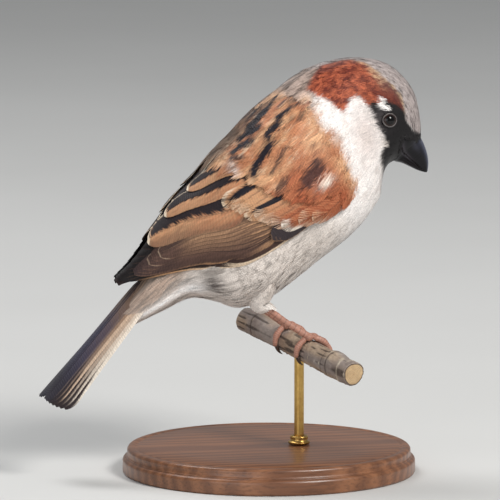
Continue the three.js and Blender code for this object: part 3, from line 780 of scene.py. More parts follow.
def paint_secondary(s, v, noise, share, rim):
    """A secondary; share runs from 0 at the outermost to 1, and rim draws a loop at its tip."""
    lines = grain(s, v, 17)
    edge = mix(EDGE_BUFF, FLIGHT_BROWN, ramp(s, 0.45, 0.8) * 0.9)
    loop = ramp(np.abs(v), 0.86, 0.94) * ramp(s, 0.88, 0.95)
    return layered(
        mix(DARK_BROWN, FLIGHT_BROWN, 0.35 + 0.75 * lines),
        (mix(FLIGHT_BROWN, BUFF, 0.1 + 0.6 * lines), share * fall(s, 0.5, 0.85)),
        (WARM_EDGE, fall(s, 0.05, 0.32) * ramp(v + 0.6 * lines, 0.3, 0.8) * 0.8),
        (DARK_BROWN, fall(v, -0.3, 0.3) * 0.5),
        (INK, ramp(s, 0.6, 1) * (1 - share) * 0.6),
        (edge, ramp(v + noise * 0.03, 0.84, 0.95) * 0.7),
        (mix(EDGE_BUFF, CREAM, 0.5), np.maximum(ramp(s, 0.98, 0.99), loop) * rim),
    )


def paint_inner(s, v, noise):
    rim = np.maximum(ramp(-v + noise * 0.05, 0.84, 0.95), ramp(s, 0.965, 0.985))
    return mix(mix(DARK_BROWN, SLATE, 0.4), CREAM, rim * 0.8)


def paint_tertial(s, v, noise, brown):
    """A tertial, dark along its shaft; brown browns its lower half."""
    saw = v + 0.1 * noise + 0.03 * np.sin(70 * s)
    dark = fall(saw + 0.2 * (brown > 0.5), 0.08, 0.2) * fall(-v + noise * 0.05, 0.86, 0.95)
    lines = grain(s, v, 18)
    low = ramp(v + 0.35 * s + 0.9 * (lines - 0.5), 0.4, 0.95) * brown
    edge = ramp(s + noise * 0.01, 0.95, 0.975) * 0.85
    return layered(
        mix(BUFF, RUFOUS, 0.25 + 0.35 * ramp(noise, 0, 1) + 0.3 * fall(s, 0.2, 0.6)),
        (WARM_EDGE, ramp(lines, 0.45, 0.8) * 0.45),
        (DARK_BROWN, fall(lines, 0.2, 0.45) * 0.3),
        (mix(FLIGHT_BROWN, DARK_BROWN, 0.3), low),
        (SOFT_INK, dark * fall(s + 0.03 * noise, 0.93, 0.97)),
        (CREAM, np.maximum(ramp(-v + noise * 0.04, 0.88, 0.96), edge)),
    )


def paint_greater(s, v, noise, gold, rim):
    """A greater covert; gold turns it from rust to buff, and rim whitens its tip."""
    side = ramp(v + noise * 0.04, 0.6, 0.75) * ramp(s, 0.5, 0.7)
    end = np.maximum(ramp(s + noise * 0.02, 0.78, 0.84), side) * rim
    end = np.maximum(end, ramp(s + noise * 0.02, 0.955, 0.98) * 0.45)
    return layered(
        mix(RUST, RUFOUS, 0.45 + 0.45 * noise),
        (mix(BUFF, RUFOUS, 0.25 + 0.25 * noise), gold),
        (DARK_BROWN, ramp(grain(s, v, 19), 0.6, 0.9) * fall(s, 0.6, 0.85) * 0.5),
        (BUFF, ramp(s + noise * 0.1, 0.7, 0.95) * 0.5),
        (mix(CREAM, WHITE, 0.5 * rim), end),
    )


def paint_greater_dark(s, v, noise):
    dark = fall(np.abs(v + 0.05) + noise * 0.1, 0.36, 0.5) * fall(s + noise * 0.03, 0.8, 0.88)
    side = ramp(-v + noise * 0.06, 0.66, 0.84) * ramp(s, 0.5, 0.8)
    rim = np.maximum(side, ramp(s + noise * 0.02, 0.9, 0.95)) * 0.85
    base = mix(BUFF, RUFOUS, 0.3 + 0.3 * noise)
    return layered(base, (INK, dark), (mix(CREAM, BUFF, 0.2), rim))


def paint_alula(s, v, noise):
    edge = np.maximum(ramp(v, 0.88, 0.96), ramp(s + noise * 0.01, 0.975, 0.99) * 0.4)
    return mix(mix(SLATE, DARK_BROWN, 0.6), EDGE_BUFF, edge * 0.5)


def paint_tail(s, v, noise, side, line):
    """A tail feather, its outer web at v > 0; side runs from -1 (right edge) to 1 (left)."""
    near = ramp(-side, -0.1, 0.35)
    # Painted sheen: the far, upper feathers' webs carry a blue-violet sheen's colour that fades to
    # ink toward their tips.
    far_web = mix(TAIL_SHEEN_BLUE, INK, ramp(s, 0.6, 0.9) * 0.8)
    pale = near * fall(s + 0.08 * noise, 0.35, 0.75) * ramp(v, -0.3, 0.2) * 0.7
    edge = mix(EDGE_BUFF, mix(CREAM, WHITE, 0.4), 0.3 + 0.7 * ramp(-side, 0.2, 0.9))
    low = np.interp(s, (0.3, 0.6, 0.85), (0.5, 0.62, 0.82)) * near + 0.86 * (1 - near)
    rim = ramp(v + noise * 0.01, low, low + 0.1) * (0.3 + 0.55 * near) * fall(s, 0.86, 0.97)
    return layered(
        mix(BACK_BROWN, SLATE, 0.45),
        (far_web, ramp(s + 0.05 * noise, 0.16, 0.45)),
        (mix(INK, DARK_BROWN, 0.5), near),
        (mix(EDGE_BUFF, FLIGHT_BROWN, 0.4), pale),
        (DARK_BROWN, near * ramp(grain(s, v, 20), 0.5, 0.8) * 0.4),
        (mix(edge, SLATE, (1 - near) * 0.6), rim * line),
    )


# ------------------------------------------------------------------ feathers


def scatter(surface, t_range, phi_range, spacing, tries):
    """Places on a surface at least a spacing apart, which may vary over it."""
    t = rng.uniform(*t_range, tries)
    phi = rng.uniform(*phi_range, tries)
    along, around, _ = slopes(surface, t, phi, 0.0)
    gap = spacing(t, phi)
    weight = np.linalg.norm(np.cross(along, around), axis=-1) / gap**2
    keep = rng.uniform(0, weight.max() * 0.5, tries) < weight
    t, phi, gap = t[keep], phi[keep], gap[keep]
    p = surface.point(t, phi)
    steps = [(x, y, z) for x in (-1, 0, 1) for y in (-1, 0, 1) for z in (-1, 0, 1)]
    grid, chosen = {}, []
    for i, (cx, cy, cz) in enumerate(np.floor(p / gap.max()).astype(int)):
        near = [k for x, y, z in steps for k in grid.get((cx + x, cy + y, cz + z), ())]
        if near and (((p[near] - p[i]) ** 2).sum(1) < gap[i] ** 2).any():
            continue
        grid.setdefault((cx, cy, cz), []).append(i)
        chosen.append(i)
    return t[chosen], phi[chosen]


BARB_ROWS = np.array([0.0, 0.4, 0.75, 1.0])
BARB_WIDTHS = (0.8, 1.0, 0.7, 0.08)
STRIP_OVERLAP = 1.6
PATCH = 0.003  # side of a tuft's patch on the bake map


def tufts(
    parts, surface, t, phi, length, width, root, tip, strips, paint,
    sway=0.0, turn=0.0, contrast=0.06, clear=None,
):  # fmt: skip
    """Soft feathers at places on a surface: each is a fan of strips that lies along it, from the
    height root to the height tip."""
    n = len(t)
    along, around, normal = slopes(surface, t, phi, root)
    ahead = unit(along)
    aside = np.cross(normal, ahead)
    turn = np.broadcast_to(np.radians(turn), (n,)) + rng.normal(0, 0.12, n)
    c, s = np.cos(turn)[:, None], np.sin(turn)[:, None]
    ahead, aside = ahead * c + aside * s, aside * c - ahead * s
    forward_t, forward_phi = steps_for(along, around, ahead)
    aside_t, aside_phi = steps_for(along, around, aside)
    shape = (n, strips, 1, 1)
    per = lambda value: np.broadcast_to(np.asarray(value, float), (n,)).reshape(n, 1, 1, 1)
    across = np.linspace(-1, 1, strips).reshape(1, strips, 1, 1)
    across = across + rng.normal(0, 0.5 / strips, shape)
    b = BARB_ROWS.reshape(1, 1, 4, 1)
    edge = np.array([-1.0, 1.0]).reshape(1, 1, 1, 2)
    reach = per(length) * (1 - 0.26 * across**2) * (1 + rng.normal(0, 0.07, shape))
    half = per(width) / strips * STRIP_OVERLAP * np.interp(b, BARB_ROWS, BARB_WIDTHS)
    f = b * reach + edge * 0
    side = per(width) / 2 * across * (0.35 + 0.65 * b**0.8) + edge * half + per(sway) * reach * b**2
    at_t = per(t) + f * per(forward_t) + side * per(aside_t)
    at_phi = per(phi) + f * per(forward_phi) + side * per(aside_phi)
    height = per(root) + per(np.asarray(tip) - root) * b**0.6 + rng.normal(0, 0.012, shape) * b
    points = surface.point(at_t, at_phi, height)
    if clear is not None:
        points = clear(points)
    tint = paint(at_t + rng.normal(0, 0.02, shape), at_phi + rng.normal(0, 1.0, shape))
    shade = 0.98 + 0.06 * b + rng.normal(0, contrast, shape)
    tint = tint * (shade + rng.normal(0, contrast * 0.8, (n, 1, 1, 1)))[..., None]
    vanes = stacked(across, f, rng.uniform(-1, 1, shape))
    root_u, root_v = per(phi) / 360 + 0.5, per(t) / surface.last * 0.98 + 0.01
    places = stacked(root_u + PATCH / 2 * across + 0 * f, root_v + PATCH * (b - 0.5))
    parts.add(points, strip_faces(n * strips, 4), tint, vanes, places)


def vane_width(s, blunt):
    """A vane's share of its full width: narrow at the root, and closed over the blunt end."""
    close = np.clip((s - 1 + blunt) / blunt, 0, 1)
    return np.clip(s / 0.22 + 0.12, 0, 1) ** 0.7 * np.sqrt(np.clip(1 - close**2.2, 0, 1))


CELLS = 24  # of the bake map, along each side, one for each vane
VANE_ROWS = np.array([0.0, 0.1, 0.2, 0.32, 0.48, 0.64, 0.76, 0.85, 0.91, 0.96, 1.0])
# The plain shells under the vanes: their place on the bake map, past the last cell in use, and
# how deep they lie.
SHELL_PLACE = (0.999, 0.999)
WING_SHELL_DEPTH, TAIL_SHELL_DEPTHS = 2.25, (1.9, 1.4)


def vane(
    parts, surface, path, widths, lifts, paint, barbs, cell,
    camber=0.35, reach=0.2, fray=0.05, shaft=0.0, blunt=0.26, ends=0.4,
):  # fmt: skip
    """A feather with a shaft through three places, whose two webs are rows of overlapping barbs."""
    root, middle, tip = (np.array(p, float) for p in path)

    def centre(s):
        weights = (1 - s) * (1 - 2 * s), 4 * s * (1 - s), s * (2 * s - 1)
        return sum((p * w[..., None] for p, w in zip((root, middle, tip), weights)))

    at = lambda place, lift: surface.point(place[..., 0], place[..., 1], lift)
    lift_at = lambda s: lifts[0] + (lifts[1] - lifts[0]) * s**0.7
    column = lambda value: value.reshape(-1, 1, 1)
    foot = column(np.tile(np.linspace(0.03, 0.985, barbs), 2))
    web = column(np.repeat([-1.0, 1.0], barbs))
    noise = column(rng.uniform(-1, 1, 2 * barbs))
    step = 0.96 / barbs
    q = VANE_ROWS.reshape(1, -1, 1)
    edge = np.array([-1.0, 1.0]).reshape(1, 1, 2)
    stretch = reach * np.minimum(1, (1 - foot) / 0.3) * (1 + fray * noise)
    taper = np.interp(q, BARB_ROWS, (0.9, 0.9, 0.6 + 0.6 * ends, ends))
    s = np.clip(foot + stretch * q + edge * step * taper, 0, 1)
    width = np.where(web > 0, widths[1], widths[0])
    width = width * vane_width(np.clip(foot + stretch, 0, 1), blunt)
    side = web * q * (width * (1 + fray * 0.6 * rng.normal(0, 1, foot.shape)))
    place, lift = centre(s), lift_at(s)
    along, around, normal = slopes(surface, place[..., 0], place[..., 1], lift)
    aside = unit(np.cross(normal, unit(at(centre(s + 0.02), lift) - at(place, lift))))
    if (aside * around).sum(-1).mean() < 0:
        aside = -aside
    step_t, step_phi = steps_for(along, around, aside)
    height = lift + camber * (1 - (np.abs(side) / max(widths)) ** 2) - camber + edge * 0.012
    points = surface.point(place[..., 0] + side * step_t, place[..., 1] + side * step_phi, height)
    v = web * q + edge * 0
    tint = paint(s, v, noise) * (1 + 0.7 * fray * noise)[..., None]
    size = np.linalg.norm(surface.point(*tip) - surface.point(*root))
    corner = np.array([cell % CELLS, cell // CELLS % CELLS]) / CELLS
    places = corner + stacked(0.5 + 0.46 * v, 0.04 + 0.92 * s) / CELLS
    faces = strip_faces(2 * barbs, len(VANE_ROWS))
    parts.add(points, faces, tint, stacked(v, s * size, noise), places)
    if shaft:
        s = np.linspace(0, 0.94, 14)
        place, over = centre(s), lift_at(s) + 0.03
        normal = slopes(surface, place[:, 0], place[:, 1], over)[2]
        spine = at(place, over)
        ahead = np.gradient(spine, axis=0)
        thick = (shaft * (1 - 0.75 * s))[:, None]
        aside = np.cross(normal, unit(ahead)) * thick
        rings = [spine - aside, spine + normal * thick * 0.7]
        rings += [spine + aside, spine - normal * thick * 0.5]
        colour = mix(paint(np.array(0.5), np.array(0.0), np.array(0.0)), BLACK, 0.45)
        parts.add_tube(np.stack(rings, 1), colour, corner + np.array([0.5, 0.5]) / CELLS)


# ------------------------------------------------------------------ skin and soft plumage

# Where the folded wing ends below: ribs of the wing's envelope, and the angles there.
WING_MARGIN = ((0, 2.7, 4.1, 7.1, 9.9), (104, 110, 101, 86, 68))
EYE_OPENING = 2.15
EYE_LOOK = (1, 2.6, 0.35)  # which way an eye faces: ahead, aside and up


def coat_depth(t):
    return np.interp(t, (0, 1, 3, 5, 7, 9, 15, 17), (0.26, 0.28, 0.32, 0.4, 0.55, 0.75, 0.85, 0.6))


def tuft_spacing(t, phi):
    return np.interp(t, (0, 1, 3, 5, 7, 9, 17), (0.55, 0.62, 0.8, 1.0, 1.3, 1.55, 1.6))


EYES = {}
for side_name, side in reversed(SIDES):
    half = BODY.side_at(EYE_X, EYE_Z)
    centre = np.array([EYE_X, side * (half + EYE_PROUD - EYE_RADIUS), EYE_Z])
    look = np.array([EYE_X + EYE_LOOK[0], side * EYE_LOOK[1], EYE_Z + EYE_LOOK[2]])
    out = turn_head(look, 1.0) - turn_head(np.array([EYE_X, 0.0, EYE_Z]), 1.0)
    EYES[side_name] = (turn_head(centre, 1.0), out / np.linalg.norm(out))


def clear_of_eyes(points):
    """Moves what lies over an eye out to the rim of its lids."""
    for centre, out in EYES.values():
        away = points - centre
        depth = (away * out).sum(-1, keepdims=True)
        flat = away - depth * out
        r = np.linalg.norm(flat, axis=-1, keepdims=True)
        new = np.maximum(r, EYE_OPENING + 0.12 * r)
        near = (depth > -2) & (depth < 6)
        moved = centre + out * depth + flat / np.maximum(r, 1e-6) * new
        points = np.where(near, moved, points)
    return points


def skin():
    parts = Parts()
    columns = 144
    t = np.concatenate([np.linspace(-0.12, 7.5, 150), np.linspace(7.6, 17.1, 120)])
    tt, pp = np.meshgrid(t, np.arange(columns) * 360 / columns, indexing="ij")
    wrapped = (pp + 180) % 360 - 180
    points = BODY.point(tt, pp, -coat_depth(tt) - 0.05)
    tint = plumage(tt, wrapped)
    places = stacked(wrapped / 360 + 0.5, tt / 17 * 0.98 + 0.01)
    parts.add(points, grid_faces(len(t), columns), tint, places=places)
    for row, way in ((0, -1), (len(t) - 1, 1)):
        ring = points[row]
        rings = np.stack([ring.mean(0) + (ring - ring.mean(0)) * k for k in (1, 0.6, 0.25, 0.02)])
        faces = grid_faces(4, columns)[:, ::way]
        parts.add(rings, faces, tint[row].mean(0), places=places[row, 0])
    for tube in THIGHS.values():
        u, angle = np.meshgrid(np.linspace(0, 1, 24), np.arange(24) * 15.0, indexing="ij")
        parts.add_tube(tube.point(u, angle, -1.0), FLANK * 0.9)
    return parts


def perch_frame(points):
    """Perch coordinates (across, along, up) to the whole model's."""
    c, s = math.cos(PERCH_SLOPE), math.sin(PERCH_SLOPE)
    x, y, z = points[..., 0], points[..., 1], points[..., 2]
    y, z = y * c - z * s, y * s + z * c
    c, s = math.cos(PERCH_TURN), math.sin(PERCH_TURN)
    return stacked(x * c - y * s + PERCH_X, x * s + y * c, z + PERCH_Z)


def round_perch(angle, distance, along):
    a = np.radians(np.asarray(angle, float))
    return perch_frame(stacked(distance * np.cos(a), along, distance * np.sin(a)))


HUBS, THIGHS = {}, {}
for side_name, side in SIDES:
    distance = PERCH_RADIUS + GAP + HUB_RADIUS * 0.9
    hub = HUBS[side_name] = round_perch(HUB_ANGLE, distance, side * FOOT_SPACING / 2)
    heel = np.array(HEELS[side_name])
    low = heel + (hub - heel) / np.linalg.norm(hub - heel) * THIGH_OVER_HEEL
    radius = lambda u: np.interp(u, (0, 1), (THIGH_TOP_RADIUS, THIGH_LOW_RADIUS))
    THIGHS[side_name] = Tube([heel + np.array([1.5, side * 1.6, THIGH_RISE]), heel, low], radius)

plume = feather_material("plumage_soft", 0.62, 9.0, 0.25, 0.25)
head_plume = feather_material("plumage_head", 0.58, 12.0, 0.2, 0.3)
vane_plume = feather_material("plumage_vane", 0.52, 8.0, 0.08, 0.22)
tail_plume = feather_material("plumage_tail", 0.48, 8.0, 0.08, 0.3)

replaced = ("head", "neck", "trunk", "thigh_left", "thigh_right")
skin().build("skin", "body_plumage", plume, replaced)


def bristles(parts):
    """Short stiff black feathers that point forward over the nostrils and the mouth's corners."""
    phi = np.concatenate([rng.uniform(12, 108, 110), rng.uniform(-108, -12, 110)])
    t = np.interp(np.abs(phi), *FACE_LINE) + rng.uniform(0.02, 0.3, len(phi))
    length = rng.uniform(1.1, 1.9, len(phi))
    turn = 180 + rng.normal(0, 14, len(phi))
    black = lambda t, phi: np.broadcast_to(BLACK, (*t.shape, 3))
    tufts(parts, BODY, t, phi, length, 0.5, -0.15, 0.22, 5, black, turn=turn)


def trousers(parts):
    """The soft feathers of both thighs."""
    for tube in THIGHS.values():
        u, angle = scatter(tube, (0.02, 0.84), (0, 360), lambda u, angle: 1.0 + 0 * u, 4000)
        colour = lambda u, angle: mix(FLANK, BELLY, ramp(angle * 0 + u, 0.2, 0.9))
        length, width, tip = 4.0 - 2.0 * u, 2.0 - 0.8 * u, -0.15 - 0.5 * u
        tufts(parts, tube, u, angle, length, width, -0.9, tip, 12, colour)


# name: the first rib, the rib that it ends at, strips in a tuft, slot and what else it holds
COATS = {
    "face_coat": (0, 3.4, 17, "head_plumage", bristles),
    "head_coat": (3.4, 5.4, 18, "head_plumage", None),
    "neck_coat": (5.4, 8.0, 20, "body_plumage", None),
    "breast_coat": (8.0, 11.0, 22, "body_plumage", None),
    "belly_coat": (11.0, 17, 22, "body_plumage", trousers),
}


def soft_coat():
    t, phi = scatter(BODY, (0.02, 16.9), (-180, 180), tuft_spacing, 90000)
    behind = t - WING_FROM
    covered = (behind > 1.2) & (np.abs(phi) < np.interp(behind, *WING_MARGIN) - 12)
    bare = t < np.interp(np.abs(phi), *FACE_LINE) - 0.08
    t, phi = t[~covered & ~bare], phi[~covered & ~bare]
    for centre, out in EYES.values():
        away = BODY.point(t, phi, -0.5) - centre
        flat = away - (away @ out)[:, None] * out
        keep = (np.linalg.norm(flat, axis=1) > EYE_OPENING - 0.3) | ((away @ out) < -2)
        t, phi = t[keep], phi[keep]
    loose = ramp(t, 9, 11) * ramp(np.abs(phi), 100, 140) * fall(t, 14, 15)
    length = tuft_spacing(t, phi) * 4.4 * np.where(t > 12, 1.5, 1.0) * (1 + 0.25 * loose)
    for name, (low, high, strips, slot, extra) in COATS.items():
        pick = (t >= low) & (t < high)
        rib, angle, n = t[pick], phi[pick], pick.sum()
        nape = bump_at(rib, 5.8, 1.9) * fall(np.abs(angle), 45, 80)
        lift = 0.8 * loose[pick] * rng.uniform(0, 1, n) ** 2
        lift = lift + 0.3 * nape * rng.uniform(0, 1, n) ** 3
        turn = rng.normal(0, 5, n) * loose[pick]
        width, depth = tuft_spacing(rib, angle) * 2.1, coat_depth(rib)
        size = (length[pick], width, -depth, -0.05 + lift, strips)
        parts = Parts()
        tufts(parts, BODY, rib, angle, *size, plumage, turn=turn, clear=clear_of_eyes)
        if extra:
            extra(parts)
        parts.build(name, slot, head_plume if slot == "head_plumage" else plume)


soft_coat()

# ------------------------------------------------------------------ mantle, wings and tail

# Strokes of dark on the mantle, on the wings' envelope: places (rib, angle), half width, strength.
STREAKS = (
    (((0.83, 7), (1.13, 9), (1.41, 15)), 0.8, 1.0),
    (((1.54, 15), (1.92, 17), (2.34, 16)), 1.5, 1.0),
    (((2.14, 26), (2.5, 22), (2.81, 18)), 1.3, 1.0),
    (((2.62, 30), (3.02, 26), (3.43, 25)), 1.2, 1.0),
    (((1.51, 2), (1.85, 4), (2.2, 5)), 0.7, 0.9),
    (((0.61, 38), (0.93, 36), (1.2, 34)), 0.6, 0.9),
    (((0.5, 20), (0.75, 22)), 0.6, 0.8),
    (((0.95, 24), (1.2, 25)), 0.6, 0.8),
    (((0.75, 50), (1.0, 51)), 0.5, 0.7),
    (((1.04, 35), (1.39, 34), (1.66, 42)), 0.95, 1.0),
    (((1.66, 39), (1.95, 39), (2.14, 42)), 1.0, 1.0),
    (((2.1, 49), (2.51, 50), (2.9, 52), (3.34, 56)), 1.15, 1.0),
    (((1.84, 60), (2.21, 62), (2.77, 67)), 0.5, 0.75),
    (((1.35, 85), (1.6, 85.5), (2.1, 87)), 1.3, 0.8),
    (((2.48, 76), (2.78, 77), (3.02, 80)), 0.7, 0.7),
    (((3.45, 33), (3.6, 30)), 0.8, 0.9),
    (((3.2, 37), (3.4, 36)), 0.5, 0.8),
)
WING_RIB_MM, WING_DEGREE_MM = 8.7, 0.36  # the same on the wings' envelope


def distance_to(line, u, w):
    best = np.full(u.shape, 99.0)
    for start, end in zip(line[:-1], line[1:]):
        du, dw = end - start
        share = ((u - start[0]) * du + (w - start[1]) * dw) / (du * du + dw * dw)
        share = np.clip(share, 0, 1)
        best = np.minimum(best, np.hypot(u - start[0] - share * du, w - start[1] - share * dw))
    return best


def saddle(t, phi):
    """The colour of the mantle and scapulars at places on the wings' envelope."""
    a = np.abs(phi)
    u, w = t * WING_RIB_MM, a * WING_DEGREE_MM
    patches = lambda along, across, seed: patchy(u / along, w / across, seed)
    fine, broad = patches(3.2, 0.55, 5), patches(5.0, 2.6, 6)
    front = fall(t + 0.5 * (fine - 0.5), 0.1, 0.5) * ramp(a, 48, 62) * 0.6
    dashes = ramp(patches(2.2, 0.5, 16), 0.54, 0.72) * fall(t, 0.7, 1.2) * fall(a, 44, 58)
    low_back = fall(a, 10, 20) * ramp(t, 2.3, 2.7)
    edge = fall(a, 9, 17) * ramp(t, 0.9, 1.3) * fall(t, 2.4, 2.7)
    scruff = bump_at(t, 3.88, 0.22) * bump_at(a, 40, 9)
    colour = layered(
        mix(BUFF, RUFOUS, 0.15 + 0.7 * ramp(broad, 0.3, 0.8)),
        (RUST, ramp(a + 8 * (broad - 0.5), 70, 86) * ramp(t, 0.5, 1.3) * 0.85),
        (RUFOUS, ramp(fine, 0.5, 0.85) * 0.6),
        (mix(BUFF, CREAM, 0.5), fall(fine, 0.12, 0.35) * fall(a, 66, 84) * 0.7),
        (DARK_BROWN, ramp(patches(2.4, 0.45, 7), 0.72, 0.9) * 0.6),
        (NAPE_GREY, fall(t, 0.0, 0.75) * fall(a, 40, 60) * 0.8),
        (CHEEK_GREY_AND_SHADE, front),
        (SOFT_INK, dashes * 0.85),
        (mix(BACK_BROWN, DARK_BROWN, ramp(fine, 0.4, 0.8) * 0.6), low_back),
        (CREAM, low_back * ramp(patches(1.3, 0.6, 8), 0.8, 0.92) * 0.8),
        (mix(INK, BACK_BROWN, ramp(fine, 0.3, 0.7)), edge * 0.75),
        (CHEEK_GREY_AND_SHADE, edge * ramp(patches(1.6, 0.5, 23), 0.74, 0.88) * 0.8),
        (mix(CHEEK_GREY_AND_SHADE, STREAK, ramp(fine, 0.3, 0.7)), scruff * 0.85),
    )
    for places, half_width, strength in STREAKS:
        line = np.array(places) * (WING_RIB_MM, WING_DEGREE_MM)
        away = distance_to(line, u, w) + 0.7 * (fine - 0.5)
        stroke = fall(away, half_width - 0.1, half_width + 0.4)
        colour = mix(colour, mix(INK, SLATE, ramp(fine, 0.6, 0.95) * 0.4), stroke * strength)
    bar = bump_at(t, 1.5, 0.3) * bump_at(a, 99 - 3 * t, 2.4)
    return mix(colour, mix(CREAM, WHITE, 0.5), bar)


# Where the plumage of the neck's side ends over the wing: angles, and the ribs of the body there.
SHAWL = ((50, 66, 73, 79, 90, 109, 116), (6.75, 7.05, 7.05, 6.66, 6.78, 7.15, 7.4))
# Where the mantle starts and ends: angles, and the ribs of the wings' envelope there.
MANTLE_FRONT = ((0, 45, 70, 90, 109), (-0.35, -0.25, -0.1, 0.1, 0.5))
MANTLE_BEHIND = (
    (0, 20, 45, 60, 76, 86, 94, 101, 108),
    (4.3, 4.15, 3.85, 3.75, 3.35, 2.95, 2.45, 1.9, 1.3),
)


def shawl(t, phi):
    """The colour of the last feathers of the neck's side, which take on the wing's streaks."""
    a = np.abs(phi)
    broken = patchy(t * WING_RIB_MM / 4.0, a * WING_DEGREE_MM / 0.7, 15)
    share = ramp(t - np.interp(a, *SHAWL) + 0.5 * (broken - 0.5), 0.05, 0.5)
    return mix(plumage(np.minimum(t, 7.05), phi), saddle(t - WING_FROM, phi), share)


def mantle():
    """The mantle and the scapulars: soft feathers that lie over the roots of the wings."""
    parts = Parts()
    t, phi = scatter(WING, (-0.45, 4.3), (-109, 109), lambda t, phi: 1.5 + 0 * t, 16000)
    a = np.abs(phi)
    front = np.interp(a, *MANTLE_FRONT)
    keep = (t > front) & (t + 0.62 < np.interp(a, *MANTLE_BEHIND))
    t, phi = t[keep], phi[keep]
    near = np.clip((t - front[keep]) / 0.9, 0, 1)
    tip = -0.75 + 0.75 * near + rng.uniform(-0.15, 0.1, len(t))
    size = (4.6 + 2.6 * near, 3.1, tip - 0.6, tip, 20)
    sway = rng.normal(0, 0.05, len(t))
    tufts(parts, WING, t, phi, *size, saddle, sway=sway, contrast=0.09)

    t, phi = scatter(BODY, (5.9, 8.3), (-116, 116), lambda t, phi: 0.66 + 0 * t, 30000)
    a = np.abs(phi)
    behind = t - np.interp(a, *SHAWL) + rng.normal(0, 0.14, len(t))
    keep = (a > 50) & (behind > -0.42) & (behind < np.interp(a, (66, 80), (0.45, 0.95)))
    t, phi = t[keep], phi[keep]
    reach = rng.uniform(2.0, 4.6, len(t))
    bulge = np.abs(np.sin(np.radians(phi)))
    over = lambda t: np.interp(t, (6.3, 7.0, 8.0, 9.0), (0.0, 0.3, 1.35, 2.2)) * bulge
    tip = over(t + reach / WING_RIB_MM) + rng.uniform(-0.15, 0.0, len(t))
    size = (reach, 1.3, over(t) - 1.0, tip, 9)
    turn = rng.normal(0, 11, len(t))
    tufts(parts, BODY, t, phi, *size, shawl, turn=turn, contrast=0.05)
    return parts


# Places (rib, angle) on the wings' envelope of feathers' tips, or of their root, middle and tip.
PRIMARY_TIPS = (
    (9.8, 52), (10.02, 39), (10.05, 26), (9.75, 19), (9.35, 17), (8.95, 15), (8.5, 14), (8.05, 13),
    (7.7, 12),
)  # fmt: skip
OUTER_PRIMARIES = 4
SECONDARY_TIPS = ((9.15, 50), (8.95, 49), (8.7, 49), (8.35, 50), (8.1, 48), (7.78, 53))
SECONDARY_LOOPS = (0.0, 0.0, 0.0, 0.3, 0.0, 0.5)
INNER_FEATHERS = (((3.6, 24), (5.6, 11), (7.3, 5)), ((3.0, 16), (4.6, 8), (6.1, 4)))
# path, widths of the two webs and how brown it is
TERTIALS = (
    (((3.6, 76), (6.05, 47), (7.75, 15)), (7.0, 5.0), 0.6),
    (((3.4, 58), (5.15, 33), (6.65, 11)), (4.2, 3.9), 0.25),
    (((3.1, 46), (4.3, 27), (5.45, 11)), (3.6, 3.5), 0.25),
)
GREATER_TIPS = (
    (2.65, 107), (3.05, 101.5), (3.62, 96), (3.84, 91), (4.0, 87), (4.18, 82), (4.42, 77),
    (4.5, 72), (4.62, 65), (4.8, 57),
)  # fmt: skip
GREATER_RIMS = (0.1, 0.2, 0.9, 0.35, 0.25, 0.4, 0.0, 0.25, 0.3, 0.0)
DARK_GREATERS = (6, 9)


def wing():
    """The right wing, folded: the outermost primary lies lowest and the scapulars' side on top."""
    parts = Parts()
    rows, columns = 90, 30
    t = np.linspace(0.15, 10.1, rows)[:, None]
    low = np.interp(t, *WING_MARGIN) - 3
    shell = WING.point(t, 3 + (low - 3) * np.linspace(0, 1, columns), -WING_SHELL_DEPTH)
    parts.add(shell, grid_faces(rows, columns, closed=False), DARK_BROWN, places=SHELL_PLACE)
    cells = iter(range(CELLS**2))

    def feather(path, widths, lifts, paint, barbs, **more):
        vane(parts, WING, path, widths, lifts, paint, barbs, next(cells), **more)

    for k, tip in enumerate(PRIMARY_TIPS):
        path = ((3.1, 108 - 1.2 * k), (5.9, 92.5 - 1.6 * k), tip)
        paint = paint_outer_primary if k < OUTER_PRIMARIES else paint_primary
        lifts = (-2.05 + 0.05 * k, -1.55 + 0.07 * k)
        feather(path, (3.2, 2.2), lifts, paint, 130, shaft=0.16, reach=0.08, fray=0.012)
    for k, (tip, loop) in enumerate(zip(SECONDARY_TIPS, SECONDARY_LOOPS)):
        path = ((3.7, 100 - 2.2 * k), (5.9, 84.5 - 3.3 * k), tip)
        paint = lambda s, v, noise: paint_secondary(s, v, noise, k / 5, loop)
        lifts = (-1.6 + 0.06 * k, -0.95 + 0.06 * k)
        feather(path, (3.4, 3.6), lifts, paint, 120, shaft=0.14, reach=0.09, fray=0.012)
    for path in INNER_FEATHERS:
        lifts = (-1.4, -1.15)
        feather(path, (3.0, 2.4), lifts, paint_inner, 80, shaft=0.14, reach=0.12, fray=0.02)
    for k, (path, widths, brown) in enumerate(TERTIALS):
        paint = lambda s, v, noise: paint_tertial(s, v, noise, brown)
        lifts = (-1.15 + 0.28 * k, -0.48 + 0.25 * k)
        more = dict(shaft=0.14, reach=0.15, fray=0.02, camber=0.2)
        feather(path, widths, lifts, paint, 120, **more)
    for k in range(3):
        path = ((2.2 + 0.2 * k, 106 - k), (3.1 + 0.15 * k, 105 - 1.2 * k))
        path += ((3.88 + 0.1 * k, 103 - 2.4 * k),)
        lifts = (-1.6, -0.8 + 0.06 * k)
        feather(path, (3.0, 2.4), lifts, paint_alula, 70, reach=0.16, fray=0.02)
    for k, ((t, phi), rim) in enumerate(zip(GREATER_TIPS, GREATER_RIMS)):
        path = ((t - 1.8, phi + 7), (t - 0.85, phi + 5.5), (t, phi))
        gold = min(1, max(0, k - 3) / 3)
        paint = lambda s, v, noise: paint_greater(s, v, noise, gold, rim)
        if k in DARK_GREATERS:
            paint = paint_greater_dark
        lifts = (-1.1, -0.42 + 0.022 * k)
        feather(path, (3.2, 2.9), lifts, paint, 90, reach=0.3, fray=0.035, ends=0.9)
    return parts


def mirrored(parts):
    other = Parts()
    other.points = [p * np.array([1.0, -1.0, 1.0]) for p in parts.points]
    other.faces = [f[:, ::-1] for f in parts.faces]
    other.colours, other.vanes, other.places = parts.colours, parts.vanes, parts.places
    other.count = parts.count
    return other


